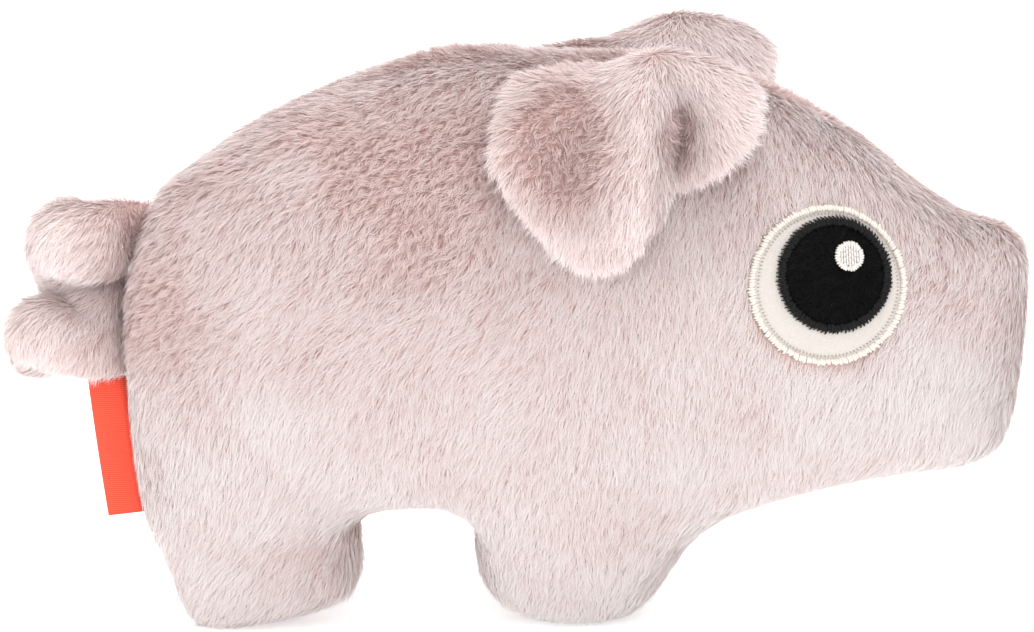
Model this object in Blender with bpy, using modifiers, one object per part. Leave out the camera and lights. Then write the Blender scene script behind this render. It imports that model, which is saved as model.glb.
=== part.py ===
"""A plush pig: a stuffed pouch of two side panels with folded ears, a curled tail and sewn eyes.

Metres, +Z up, +X towards the snout. The pig's right side faces -Y.
"""

import math

import bmesh
import bpy
import numpy as np
from mathutils import Vector
from mathutils.bvhtree import BVHTree
from mathutils.geometry import delaunay_2d_cdt, interpolate_bezier

# Body: overall sizes of the stuffed pouch, without the pile that stands on it.
BODY_LENGTH = 0.149
BODY_HEIGHT = 0.0963
BODY_THICKNESS = 0.050
# A number under 1 fills out the thin places, as firm stuffing does in a foot or a snout.
FULLNESS = 0.86
# The cloth stands square to the seam for this far before it swells.
SEAM_TURN = 0.002
# The feet are flattened where they carry the toy.
SOLE_DEPTH = 0.0005

# Cloth and the room between pieces.
PLUSH = 0.0012
SEAM_GAP = 0.0003
FILLING_GAP = 0.0004
STITCHED_GAP = 0.0003

# How closely the pouch is divided.
EDGE_STEP = 0.0042
EDGE_ROW = 0.0016
INNER_ROW = 0.0048
FIELD_STEP = 0.0078
# An inset row's point is kept if it lies nearly the whole inset inside, and no two points of
# a row lie closer than a share of their step.
KEPT_INSET_SHARE = 0.9
CROWDED_SHARE = 0.6
CURVE_SAMPLES = 12

# The cut outline as shares of body length and height, from the rump over the back and round.
OUTLINE_SHARES = [
    (0.009, 0.623), (0.026, 0.700), (0.050, 0.773), (0.096, 0.824), (0.149, 0.876),
    (0.222, 0.928), (0.296, 0.969), (0.354, 0.994), (0.410, 1.000), (0.460, 0.992),
    (0.520, 0.988), (0.579, 0.984), (0.645, 0.967), (0.723, 0.922), (0.775, 0.877),
    (0.823, 0.832), (0.869, 0.766), (0.911, 0.718), (0.938, 0.692), (0.963, 0.684),
    (0.985, 0.672), (0.998, 0.646), (1.000, 0.610), (0.998, 0.536), (0.992, 0.461),
    (0.981, 0.364), (0.966, 0.302), (0.934, 0.275), (0.888, 0.265), (0.832, 0.255),
    (0.749, 0.229), (0.668, 0.191), (0.625, 0.150), (0.595, 0.090), (0.567, 0.036),
    (0.530, 0.006), (0.490, 0.000), (0.442, 0.018), (0.403, 0.049), (0.388, 0.085),
    (0.383, 0.122), (0.381, 0.173), (0.370, 0.206), (0.306, 0.216), (0.255, 0.203),
    (0.246, 0.167), (0.246, 0.108), (0.237, 0.063), (0.207, 0.038), (0.150, 0.013),
    (0.100, 0.000), (0.062, 0.013), (0.044, 0.063), (0.032, 0.128), (0.017, 0.180),
    (0.007, 0.245), (0.002, 0.328), (0.000, 0.430), (0.001, 0.533),
]

# Where the filling is packed in portions: two points on each dividing plane, as the same shares.
NECK_SHARES = ((0.470, 1.012), (0.640, 0.162))
FRONT_FOOT_SHARES = ((0.369, 0.194), (0.623, 0.152))
HIND_FOOT_SHARES = ((0.010, 0.202), (0.246, 0.190))
ARCH_MIDDLE_SHARE = 0.305

# Ear: its spread along the head, its drop from the fold to the tip, and how far it stands out.
EAR_WIDTH = 0.044
EAR_DROP = 0.034
EAR_REACH = 0.0150
EAR_PLUSH = 0.0014
EAR_PLEAT = 0.0062
EAR_SEAM_LIFT = 0.0024
EAR_BACK_SHARE = 0.430
EAR_TOP_SHARE = 1.024
EAR_SEAM_OUT_SHARE = 0.50
# The cloth bends between its seam and its fold, so an ear turns about a line above the seam.
EAR_HINGE_RISE = 0.0042
EAR_HINGE_IN = 0.0010
# Across the ear from back to front: the fold over the top and the free rim, as shares of
# the width and of the drop, and the seam's bow away from its hinge line, of the reach.
EAR_FOLD_SHARES = [
    (0.06, 0.67), (0.16, 0.73), (0.26, 0.79), (0.36, 0.85), (0.45, 0.91), (0.53, 0.97),
    (0.59, 1.00), (0.64, 1.01), (0.73, 0.99), (0.86, 0.94), (0.965, 0.80),
]
EAR_RIM_SHARES = [
    (0.035, 0.56), (0.08, 0.40), (0.17, 0.23), (0.28, 0.05), (0.40, -0.01), (0.52, 0.07),
    (0.60, 0.23), (0.625, 0.41), (0.71, 0.37), (0.84, 0.46), (0.955, 0.62),
]
EAR_SEAM_SHARES = [
    (0.08, 0.10), (0.17, 0.06), (0.27, 0.03), (0.37, 0.01), (0.45, 0.00), (0.53, 0.00),
    (0.60, 0.00), (0.67, 0.01), (0.75, 0.03), (0.84, 0.07), (0.93, 0.12),
]
# From the seam to the rim: how far each row lies from fold to rim, how far out it stands,
# and how each place across the ear is pushed out or in. The rear flap is scooped and ends in
# a roll, behind which a deep pleat parts it from the front lobe.
EAR_ROW_SHARES = [
    (0.00, 0.62, (0, 0, 0, 0, 0, 0, 0, 0, 0, 0, 0)),
    (0.10, 0.88, (-0.1, 0, 0, -0.1, -0.1, 0.2, 0.4, -0.2, -0.4, 0.1, -0.2)),
    (0.36, 1.02, (-0.3, -0.1, -0.3, -0.6, -0.3, 0.7, 1.0, -1.2, -1.2, 0.1, -0.4)),
    (0.68, 1.06, (-0.3, -0.1, -0.2, -0.5, -0.2, 0.7, 1.0, -1.2, -1.1, 0, -0.5)),
    (1.00, 1.00, (-0.3, 0, 0, 0, 0, 0.4, 0.6, -0.8, -0.7, -0.1, -0.4)),
]

# Tail: a tube that leaves the rump square to its slope at one corner of the cut outline,
# passes the near side and curls down round its own axis. Its root is pressed flat, to be
# sewn into the seam.
TAIL_CORNER = 1
TAIL_ROOT_GAP = 0.0008
TAIL_ROOT_FLAT_SHARE = 0.30
TAIL_LEAD = 0.0091
TAIL_DROP = 0.0008
TAIL_CURL_RADIUS = 0.0043
TAIL_PITCH = 0.0156
TAIL_TURNS = 1.25
TAIL_LEAN = 0.0050
TAIL_ROOT_RADIUS = 0.0046
TAIL_UPPER_RADIUS = 0.0064
TAIL_TIP_RADIUS = 0.0055
TAIL_POINTS = 22
# How level the curl's near side lies: nearly all of its fall is on the far side.
TAIL_LEVEL_SHARE = 0.85
# The curl leans away from the rump over half a turn, which starts at this share of a half turn.
TAIL_LEAN_FROM_SHARE = 0.5
TAIL_FILLING_GAP = 0.0012
LEAD_POINTS = 4
LEAD_HANDLE_SHARE = 0.4
SLEEVE_SIDES = 12
FILLING_SIDES = 8
# The filling starts where the root has opened out.
FILLING_FIRST_POINT = 2

# Label: a folded ribbon that stands out of the rear seam under the tail.
LABEL_WIDTH = 0.0065
LABEL_LENGTH = 0.0235
LABEL_THICKNESS = 0.0008
LABEL_TOP_SHARE = 0.450
LABEL_CORNER = 0.0006
# The ribbon bends just outside the stitches that hold it.
LABEL_HINGE_OUT = 0.0007

# Eye: each disc butts against its border of stitches; all sizes are radii or heights.
EYE_SHARES = (0.792, 0.612)
EYE_RADIUS = 0.0135
EYE_BORDER = 0.0016
EYE_WHITE_HEIGHT = 0.0009
EYE_BORDER_HEIGHT = 0.0012
PUPIL_RADIUS = 0.0098
PUPIL_BORDER = 0.0017
PUPIL_HEIGHT = 0.0007
PUPIL_BORDER_HEIGHT = 0.0010
PUPIL_FORWARD = 0.0010
PUPIL_UP = 0.0017
GLINT_RADIUS = 0.0025
GLINT_HEIGHT = 0.0007
GLINT_FORWARD = 0.0024
GLINT_UP = 0.0030
# How closely a disc is divided to follow the cheek's curve, and how far its top falls off
# towards its edges, as a share of its height.
DISC_STEP = 0.0040
DISC_SECTORS = 24
GLINT_SECTORS = 12
DISC_FALL_SHARE = 0.35

COLLECTION = "plush_pig"
CUTTERS = "plush_pig_cutters"
OVERRUN = 0.02
# Points closer than this are one point.
WELD = 0.00001

COLOURS = {
    "plush": ((0.74, 0.58, 0.55), 0.95),
    "ear_plush": ((0.76, 0.61, 0.57), 0.95),
    "fibre": ((0.86, 0.85, 0.82), 0.90),
    "ribbon": ((0.90, 0.11, 0.06), 0.75),
    "white_felt": ((0.82, 0.80, 0.76), 0.90),
    "cream_thread": ((0.80, 0.76, 0.68), 0.50),
    "black_felt": ((0.012, 0.012, 0.014), 0.85),
    "charcoal_thread": ((0.03, 0.03, 0.033), 0.55),
    "white_thread": ((0.85, 0.84, 0.80), 0.50),
}


def clear_scene():
    """Empty the open file, so that the script can be run again."""
    for thing in list(bpy.data.objects):
        bpy.data.objects.remove(thing, do_unlink=True)
    for group in list(bpy.data.collections):
        bpy.data.collections.remove(group)


def make_material(name):
    """A plain Principled material in the colour and roughness of one finish."""
    colour, roughness = COLOURS[name]
    material = bpy.data.materials.new(name)
    material.use_nodes = True
    shader = material.node_tree.nodes["Principled BSDF"]
    shader.inputs["Base Color"].default_value = (*colour, 1)
    shader.inputs["Roughness"].default_value = roughness
    shader.inputs["Metallic"].default_value = 0
    material.diffuse_color = (*colour, 1)
    return material


def add_object(name, bm, material, parent):
    """Turn a bmesh into a named object with its origin on its parent, so on its joint's axis."""
    bmesh.ops.translate(bm, verts=bm.verts, vec=-parent.location)
    mesh = bpy.data.meshes.new(name)
    bm.to_mesh(mesh)
    bm.free()
    mesh.materials.append(material)
    mesh.shade_smooth()
    thing = bpy.data.objects.new(name, mesh)
    thing.parent = parent
    bpy.data.collections[COLLECTION].objects.link(thing)
    return thing


def mirrored(bm):
    """The same solid on the other side of the seam plane."""
    twin = bm.copy()
    bmesh.ops.scale(twin, vec=(1, -1, 1), verts=twin.verts)
    bmesh.ops.reverse_faces(twin, faces=twin.faces)
    return twin


def face_right(bm):
    """Turn an open cloth so that its outer face looks to the pig's right."""
    bmesh.ops.recalc_face_normals(bm, faces=bm.faces)
    if sum(face.normal.y * face.calc_area() for face in bm.faces) > 0:
        bmesh.ops.reverse_faces(bm, faces=bm.faces)


def at_shares(shares):
    """A place in the seam plane from its shares of body length and height."""
    return np.array([shares[0] * BODY_LENGTH, shares[1] * BODY_HEIGHT])


def smooth_loop(corners, step):
    """A closed Catmull-Rom curve through the corners, with a point every step or so."""
    before, after = np.roll(corners, 1, axis=0), np.roll(corners, -1, axis=0)
    beyond = np.roll(corners, -2, axis=0)
    fine = []
    for t in np.linspace(0, 1, CURVE_SAMPLES, endpoint=False):
        fine.append(
            corners
            + t * (after - before) / 2
            + t**2 * (2 * before - 5 * corners + 4 * after - beyond) / 2
            + t**3 * (3 * corners - before - 3 * after + beyond) / 2
        )
    curve = np.stack(fine, axis=1).reshape(-1, 2)
    closed = np.vstack([curve, curve[:1]])
    along = np.concatenate([[0], np.cumsum(np.linalg.norm(np.diff(closed, axis=0), axis=1))])
    count = round(along[-1] / step)
    at = np.linspace(0, along[-1], count, endpoint=False)
    return np.stack([np.interp(at, along, closed[:, k]) for k in range(2)], axis=1)


def depth_inside(points, loop):
    """How far each point lies inside the loop; negative outside it."""
    a, b = loop, np.roll(loop, -1, axis=0)
    edge = b - a
    away = points[:, None] - a
    share = np.clip((away * edge).sum(2) / (edge**2).sum(1), 0, 1)
    distance = np.linalg.norm(away - share[..., None] * edge, axis=2).min(axis=1)
    spans = (a[:, 1] > points[:, 1, None]) != (b[:, 1] > points[:, 1, None])
    rise = np.where(edge[:, 1] == 0, 1, edge[:, 1])
    crossing = a[:, 0] + (points[:, 1, None] - a[:, 1]) / rise * edge[:, 0]
    inside = (spans & (points[:, 0, None] < crossing)).sum(axis=1) % 2 == 1
    return np.where(inside, distance, -distance)


def inset_row(loop, inset):
    """A row of points the same distance inside the loop, without those that crowd in a corner."""
    along = np.roll(loop, -1, axis=0) - np.roll(loop, 1, axis=0)
    along /= np.linalg.norm(along, axis=1)[:, None]
    inward = np.stack([along[:, 1], -along[:, 0]], axis=1)
    row = loop + inset * inward
    row = row[depth_inside(row, loop) > KEPT_INSET_SHARE * inset]
    kept = []
    for point in row:
        if all(np.linalg.norm(point - other) > CROWDED_SHARE * EDGE_STEP for other in kept):
            kept.append(point)
    return np.array(kept)


def field_points(loop, clear):
    """An even field of points in the middle of the cloth, that far from its edge."""
    low, high = loop.min(axis=0), loop.max(axis=0)
    rows = np.arange(low[1], high[1], FIELD_STEP * math.sqrt(3) / 2)
    points = []
    for number, z in enumerate(rows):
        x = np.arange(low[0] + (number % 2) * FIELD_STEP / 2, high[0], FIELD_STEP)
        points.append(np.stack([x, np.full_like(x, z)], axis=1))
    points = np.concatenate(points)
    return points[depth_inside(points, loop) > clear]


def flat_cloth(loop):
    """The cut cloth as triangles: its edge points come first."""
    first, second = inset_row(loop, EDGE_ROW), inset_row(loop, INNER_ROW)
    field = field_points(loop, INNER_ROW + CROWDED_SHARE * FIELD_STEP)
    points = np.concatenate([loop, first, second, field])
    count = len(loop)
    edges = [(i, (i + 1) % count) for i in range(count)]
    found = delaunay_2d_cdt([Vector(p) for p in points], edges, [], 1, WELD)
    places = np.array([tuple(v) for v in found[0]])
    return places, np.array([tuple(f) for f in found[2]])


def film_sag(places, triangles, held):
    """The sag of an evenly loaded film stretched over the cloth's edge."""
    count = len(places)
    pull, load = np.zeros((count, count)), np.zeros(count)
    for k in range(3):
        a, b, c = (triangles[:, (k + j) % 3] for j in range(3))
        u, v = places[b] - places[a], places[c] - places[a]
        cross = np.abs(u[:, 0] * v[:, 1] - u[:, 1] * v[:, 0])
        half_cot = (u * v).sum(axis=1) / cross / 2
        np.add.at(pull, (b, c), -half_cot)
        np.add.at(pull, (c, b), -half_cot)
        np.add.at(pull, (b, b), half_cot)
        np.add.at(pull, (c, c), half_cot)
        np.add.at(load, a, cross / 6)
    free = ~held
    sag = np.zeros(count)
    sag[free] = np.linalg.solve(pull[np.ix_(free, free)], load[free])
    return sag


def stuffed_side(loop, seam_at):
    """The open outer face of the right panel, from the seam out to its crown.

    An even stuffing swells the cloth like the root of a film's sag: round at the seam,
    deep in the wide torso and shallow in the feet and the snout.
    """
    places, triangles = flat_cloth(loop)
    held = depth_inside(places, loop) < EDGE_ROW / 4
    rise = np.sqrt(np.maximum(film_sag(places, triangles, held), 0))
    crown = BODY_THICKNESS / 2 - SEAM_TURN
    swell = SEAM_TURN + crown * (rise / rise.max()) ** FULLNESS
    bm = bmesh.new()
    face = [bm.verts.new((x, -seam_at - y, z)) for (x, z), y in zip(places, swell)]
    for triangle in triangles:
        bm.faces.new([face[i] for i in triangle])
    rim = [edge for edge in bm.edges if edge.is_boundary]
    turned = bmesh.ops.extrude_edge_only(bm, edges=rim)["geom"]
    for vertex in turned:
        if isinstance(vertex, bmesh.types.BMVert):
            vertex.co.y = -seam_at
    face_right(bm)
    return bm


def closed_pouch(loop, inward):
    """The pouch with both sides joined at the seam plane, drawn in all round by inward."""
    bm = stuffed_side(loop, 0)
    twin = mirrored(bm)
    scrap = bpy.data.meshes.new("scrap")
    twin.to_mesh(scrap)
    twin.free()
    bm.from_mesh(scrap)
    bpy.data.meshes.remove(scrap)
    bmesh.ops.remove_doubles(bm, verts=bm.verts, dist=WELD)
    bmesh.ops.recalc_face_normals(bm, faces=bm.faces)
    bm.normal_update()
    moves = [v.normal * inward for v in bm.verts]
    for vertex, move in zip(bm.verts, moves):
        vertex.co -= move
    return bm


def trim(bm, first, second, keep_right, gap):
    """Cut the solid along a line in the side view and close the cut with a flat face."""
    along = (second - first) / np.linalg.norm(second - first)
    right = np.array([along[1], -along[0]])
    away = -right if keep_right else right
    place = first - away * gap / 2
    geometry = bm.verts[:] + bm.edges[:] + bm.faces[:]
    cut = bmesh.ops.bisect_plane(
        bm,
        geom=geometry,
        plane_co=(place[0], 0, place[1]),
        plane_no=(away[0], 0, away[1]),
        clear_outer=True,
    )
    edges = [e for e in cut["geom_cut"] if isinstance(e, bmesh.types.BMEdge)]
    bmesh.ops.holes_fill(bm, edges=edges, sides=0)


def make_panels(loop, materials, parent):
    """Both side panels: cloth shells that meet at the seam, flattened under the feet."""
    floor = bpy.data.meshes.new("floor_cutter")
    block = bmesh.new()
    bmesh.ops.create_cube(block, size=1)
    size = (BODY_LENGTH + OVERRUN, BODY_THICKNESS + OVERRUN, OVERRUN)
    bmesh.ops.scale(block, vec=size, verts=block.verts)
    block.to_mesh(floor)
    block.free()
    cutter = bpy.data.objects.new("floor_cutter", floor)
    cutter.location = (BODY_LENGTH / 2, 0, SOLE_DEPTH - OVERRUN / 2)
    cutter.parent = parent
    cutter.hide_render = True
    cutter.display_type = "WIRE"
    bpy.data.collections[CUTTERS].objects.link(cutter)

    right = stuffed_side(loop, SEAM_GAP / 2)
    for name, bm in (("left_side_panel", mirrored(right)), ("right_side_panel", right)):
        panel = add_object(name, bm, materials["plush"], parent)
        wall = panel.modifiers.new("cloth", "SOLIDIFY")
        wall.thickness = PLUSH
        wall.offset = -1
        wall.use_even_offset = True
        soles = panel.modifiers.new("soles", "BOOLEAN")
        soles.operation = "DIFFERENCE"
        soles.object = cutter


def make_fillings(loop, materials, parent):
    """The fibre in its four portions, each cut back where it meets the larger ones."""
    neck = [at_shares(s) for s in NECK_SHARES]
    front = [at_shares(s) for s in FRONT_FOOT_SHARES]
    hind = [at_shares(s) for s in HIND_FOOT_SHARES]
    arch = at_shares((ARCH_MIDDLE_SHARE, 1)), at_shares((ARCH_MIDDLE_SHARE, 0))
    inward = PLUSH + FILLING_GAP
    cuts = {
        "torso_filling": [(neck, True), (front, False), (hind, False)],
        "head_filling": [(neck, False), (front, False)],
        "front_foot_filling": [(front, True), (arch, False)],
        "hind_foot_filling": [(hind, True), (arch, True)],
    }
    for name, lines in cuts.items():
        bm = closed_pouch(loop, inward)
        for (first, second), keep_right in lines:
            trim(bm, first, second, keep_right, FILLING_GAP)
        bmesh.ops.recalc_face_normals(bm, faces=bm.faces)
        add_object(name, bm, materials["fibre"], parent)


def surface_tree(loop):
    """The outside of the whole pouch, to rest other pieces on."""
    bm = closed_pouch(loop, 0)
    tree = BVHTree.FromBMesh(bm)
    bm.free()
    return tree


def sewn_disc(tree, frame, centre, inner, outer, lift, height):
    """A disc, or a ring when inner is above zero, that lies on the curved cheek."""
    middle, forward, up, out = frame
    sectors = DISC_SECTORS if outer > GLINT_RADIUS else GLINT_SECTORS
    steps = 2 if inner else math.ceil(outer / DISC_STEP)
    rings = [inner + (outer - inner) * k / steps for k in range(0 if inner else 1, steps + 1)]
    bm = bmesh.new()

    def stand(radius, angle, rise):
        flat = middle + forward * (centre[0] + radius * math.cos(angle))
        flat = flat + up * (centre[1] + radius * math.sin(angle))
        hit = tree.ray_cast(flat + out * BODY_THICKNESS, -out)[0]
        return bm.verts.new(hit + out * (lift + rise))

    def face_grid(rise_at):
        grid = []
        for radius in rings:
            turn = [2 * math.pi * k / sectors for k in range(sectors)]
            grid.append([stand(radius, angle, rise_at(radius)) for angle in turn])
        for inside, outside in zip(grid, grid[1:]):
            for k in range(sectors):
                n = (k + 1) % sectors
                bm.faces.new((inside[k], outside[k], outside[n], inside[n]))
        if not inner:
            hub = stand(0, 0, rise_at(0))
            for k in range(sectors):
                bm.faces.new((hub, grid[0][k], grid[0][(k + 1) % sectors]))
        return grid

    crown = (inner + outer) / 2 if inner else 0
    reach = outer - crown

    def top(radius):
        return height * (1 - DISC_FALL_SHARE * ((radius - crown) / reach) ** 2)

    above, below = face_grid(top), face_grid(lambda radius: 0)
    walls = [(above[-1], below[-1])] + ([(above[0], below[0])] if inner else [])
    for high, low in walls:
        for k in range(sectors):
            n = (k + 1) % sectors
            bm.faces.new((high[k], low[k], low[n], high[n]))
    bmesh.ops.recalc_face_normals(bm, faces=bm.faces)
    return bm


def make_eyes(tree, materials, parent):
    """Five sewn pieces for each eye, stacked outwards on the cheek."""
    x, z = at_shares(EYE_SHARES)
    reach = EYE_RADIUS / 2
    out = Vector((0, 0, 0))
    for across, rise in ((0, 0), (-reach, -reach), (-reach, reach), (reach, -reach), (reach, reach)):
        start = Vector((x + across, -BODY_THICKNESS, z + rise))
        out += tree.ray_cast(start, Vector((0, 1, 0)))[1]
    out.normalize()
    forward = (Vector((1, 0, 0)) - out * out.x).normalized()
    middle = tree.ray_cast(Vector((x, -BODY_THICKNESS, z)), Vector((0, 1, 0)))[0]
    frame = (middle, forward, forward.cross(-out), out)
    pupil = (PUPIL_FORWARD, PUPIL_UP)
    glint = (PUPIL_FORWARD + GLINT_FORWARD, PUPIL_UP + GLINT_UP)
    white_edge = EYE_RADIUS - EYE_BORDER
    pupil_edge = PUPIL_RADIUS - PUPIL_BORDER
    on_cheek = STITCHED_GAP
    on_white = on_cheek + EYE_WHITE_HEIGHT + STITCHED_GAP
    on_pupil = on_white + PUPIL_HEIGHT + STITCHED_GAP
    pieces = [
        ("eye_white", "white_felt", (0, 0), 0, white_edge, on_cheek, EYE_WHITE_HEIGHT),
        ("eye_border", "cream_thread", (0, 0), white_edge + STITCHED_GAP, EYE_RADIUS,
         on_cheek, EYE_BORDER_HEIGHT),
        ("pupil", "black_felt", pupil, 0, pupil_edge, on_white, PUPIL_HEIGHT),
        ("pupil_border", "charcoal_thread", pupil, pupil_edge + STITCHED_GAP, PUPIL_RADIUS,
         on_white, PUPIL_BORDER_HEIGHT),
        ("eye_highlight", "white_thread", glint, 0, GLINT_RADIUS, on_pupil, GLINT_HEIGHT),
    ]
    for name, finish, centre, inner, outer, lift, height in pieces:
        bm = sewn_disc(tree, frame, centre, inner, outer, lift, height)
        twin = mirrored(bm)
        add_object("right_" + name, bm, materials[finish], parent)
        add_object("left_" + name, twin, materials[finish], parent)


def ear_cage(tree):
    """The right ear's middle surface as rows of points from its seam over the fold to its rim."""
    back = EAR_BACK_SHARE * BODY_LENGTH
    low = EAR_TOP_SHARE * BODY_HEIGHT - EAR_DROP
    seam_out = EAR_SEAM_OUT_SHARE * BODY_THICKNESS / 2
    rows = []
    seam = []
    for along, bow in EAR_SEAM_SHARES:
        x, y = back + along * EAR_WIDTH, -seam_out - bow * EAR_REACH
        hit = tree.ray_cast(Vector((x, y, 2 * BODY_HEIGHT)), Vector((0, 0, -1)))[0]
        seam.append(hit + Vector((0, 0, EAR_SEAM_LIFT)))
    rows.append(seam)
    for fold_to_rim, out, pushes in EAR_ROW_SHARES:
        row = []
        for fold, rim, push in zip(EAR_FOLD_SHARES, EAR_RIM_SHARES, pushes):
            along = fold[0] + (rim[0] - fold[0]) * fold_to_rim
            up = fold[1] + (rim[1] - fold[1]) * fold_to_rim
            y = -seam_out - out * EAR_REACH - push * EAR_PLEAT
            row.append(Vector((back + along * EAR_WIDTH, y, low + up * EAR_DROP)))
        rows.append(row)
    return rows


def make_ears(tree, materials, bodies):
    """Two layers of plush in each ear, rounded from a coarse cage and hinged on the seam."""
    rows = ear_cage(tree)
    bm = bmesh.new()
    grid = [[bm.verts.new(point) for point in row] for row in rows]
    for low, high in zip(grid, grid[1:]):
        for k in range(len(low) - 1):
            bm.faces.new((low[k], low[k + 1], high[k + 1], high[k]))
    face_right(bm)
    for name, side in (("_ear_outer", 1), ("_ear_lining", -1)):
        for hand, source in (("right", bm.copy()), ("left", mirrored(bm))):
            ear = add_object(hand + name, source, materials["ear_plush"], bodies[hand + "_ear"])
            rounding = ear.modifiers.new("rounding", "SUBSURF")
            rounding.levels = 1
            rounding.render_levels = 1
            spacing = ear.modifiers.new("spacing", "DISPLACE")
            spacing.strength = side * SEAM_GAP / 2
            spacing.mid_level = 0
            layer = ear.modifiers.new("layer", "SOLIDIFY")
            layer.thickness = EAR_PLUSH
            layer.offset = side
    bm.free()


def tail_root():
    """Where the tail's root meets the rear seam, the seam's direction and the way out of it."""
    below, here, above = (at_shares(OUTLINE_SHARES[TAIL_CORNER + k]) for k in (-1, 0, 1))
    along = Vector((above[0] - below[0], 0, above[1] - below[1])).normalized()
    out = Vector((-along.z, 0, along.x))
    return Vector((here[0], 0, here[1])) + out * TAIL_ROOT_GAP, along, out


def tail_path():
    """The tail's centre line from root to tip, with its radius and how flat it is at each point."""
    root, along, out = tail_root()
    curl = root - Vector((TAIL_LEAD, 0, TAIL_DROP))
    end = curl - Vector((0, TAIL_CURL_RADIUS, 0))
    handle = (end - root).length * LEAD_HANDLE_SHARE
    lead = (root, root + out * handle, end + Vector((handle, 0, 0)), end)
    points = interpolate_bezier(*lead, LEAD_POINTS + 1)[:-1]
    radii, flats = [], []
    for k in range(LEAD_POINTS):
        share = k / LEAD_POINTS
        ease = share * share * (3 - 2 * share)
        radii.append(TAIL_ROOT_RADIUS + (TAIL_UPPER_RADIUS - TAIL_ROOT_RADIUS) * ease)
        flats.append(TAIL_ROOT_FLAT_SHARE + (1 - TAIL_ROOT_FLAT_SHARE) * ease)
    for k in range(TAIL_POINTS):
        share = k / (TAIL_POINTS - 1)
        turn = share * TAIL_TURNS
        angle = -math.pi / 2 - 2 * math.pi * turn
        thin = min(1, turn * 2)
        away = min(max(turn * 2 - TAIL_LEAN_FROM_SHARE, 0), 1)
        points.append(curl + Vector((
            TAIL_CURL_RADIUS * math.cos(angle) - TAIL_LEAN * away,
            TAIL_CURL_RADIUS * math.sin(angle),
            -TAIL_PITCH * (turn - TAIL_LEVEL_SHARE * math.sin(4 * math.pi * turn) / (4 * math.pi)
                           - TAIL_LEVEL_SHARE * math.sin(2 * math.pi * turn) / (2 * math.pi)),
        )))
        radii.append(TAIL_UPPER_RADIUS + (TAIL_TIP_RADIUS - TAIL_UPPER_RADIUS) * thin)
        flats.append(1)
    return points, radii, flats


def tail_self_gap(points, radii):
    """The least room between two stretches of the tail that aren't neighbours."""
    least = math.inf
    for i, (p, r) in enumerate(zip(points, radii)):
        for j in range(i + 1, len(points)):
            walk = sum((points[k + 1] - points[k]).length for k in range(i, j))
            if walk > math.pi * (r + radii[j]) / 2 + TAIL_CURL_RADIUS:
                least = min(least, (p - points[j]).length - r - radii[j])
    return least


def swept_tube(points, radii, flats, sides, leave, round_end):
    """A tube with a ring at each point, pressed flat by its share; it leaves the first one
    in a set direction."""
    bm = bmesh.new()
    rings = []
    normal = Vector((0, 0, 1))
    spots = list(zip(points, radii, flats))
    if round_end:
        last, before = points[-1], points[-2]
        ahead = (last - before).normalized()
        for angle in (math.pi / 6, math.pi / 3):
            spots.append((last + ahead * radii[-1] * math.sin(angle), radii[-1] * math.cos(angle), 1))
    for k, (place, radius, flat) in enumerate(spots):
        ahead = spots[min(k + 1, len(spots) - 1)][0] - spots[max(k - 1, 0)][0]
        ahead = (ahead if k else leave).normalized()
        normal = (normal - ahead * normal.dot(ahead)).normalized()
        side = ahead.cross(normal)
        ring = []
        for j in range(sides):
            angle = 2 * math.pi * j / sides
            up, across = math.cos(angle), math.sin(angle)
            end = (up > WELD) - (up < -WELD)
            tall = end * (1 - flat) + up * flat
            ring.append(bm.verts.new(place + radius * (normal * tall + side * across * flat)))
        rings.append(ring)
    for low, high in zip(rings, rings[1:]):
        for j in range(sides):
            n = (j + 1) % sides
            bm.faces.new((low[j], low[n], high[n], high[j]))
    bm.faces.new(rings[-1])
    return bm, rings


def make_tail(materials, body):
    """The tail's plush sleeve, open at its sewn root, and the filling inside it."""
    points, radii, flats = tail_path()
    print("least gap of the tail to itself", round(tail_self_gap(points, radii), 5))
    bm, rings = swept_tube(points, radii, flats, SLEEVE_SIDES, tail_root()[2], True)
    bmesh.ops.recalc_face_normals(bm, faces=bm.faces)
    sleeve = add_object("tail_sleeve", bm, materials["plush"], body)
    wall = sleeve.modifiers.new("cloth", "SOLIDIFY")
    wall.thickness = PLUSH
    wall.offset = -1

    inset = PLUSH + TAIL_FILLING_GAP
    inner = [r - inset for r in radii]
    pressed = [(r * flat - inset) / (r - inset) for r, flat in zip(radii, flats)]
    part = slice(FILLING_FIRST_POINT, -1)
    leave = points[FILLING_FIRST_POINT + 1] - points[FILLING_FIRST_POINT]
    bm, rings = swept_tube(points[part], inner[part], pressed[part], FILLING_SIDES, leave, False)
    bm.faces.new(rings[0])
    bmesh.ops.recalc_face_normals(bm, faces=bm.faces)
    add_object("tail_filling", bm, materials["fibre"], body)


def rear_seam_at(loop, z):
    """Where the rear of the cut outline lies at a height."""
    rear = loop[loop[:, 0] < BODY_LENGTH / 8]
    return rear[np.argmin(np.abs(rear[:, 1] - z)), 0]


def make_label(loop, materials, body):
    """A folded ribbon with rounded corners, along the rear seam."""
    top, along = label_frame(loop)
    out = Vector((along.z, 0, -along.x))
    bm = bmesh.new()
    bmesh.ops.create_cube(bm, size=1)
    size = (LABEL_WIDTH, LABEL_THICKNESS, LABEL_LENGTH)
    bmesh.ops.scale(bm, vec=size, verts=bm.verts)
    corners = [e for e in bm.edges if abs(e.verts[0].co.y - e.verts[1].co.y) > LABEL_THICKNESS / 2]
    bmesh.ops.bevel(bm, geom=corners, offset=LABEL_CORNER, segments=2, affect="EDGES")
    middle = top + along * (LABEL_LENGTH / 2) + out * (SEAM_GAP + LABEL_WIDTH / 2)
    for vertex in bm.verts:
        x, y, z = vertex.co
        vertex.co = middle + out * x + Vector((0, y, 0)) + along * z
    add_object("seam_label", bm, materials["ribbon"], body)


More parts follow.
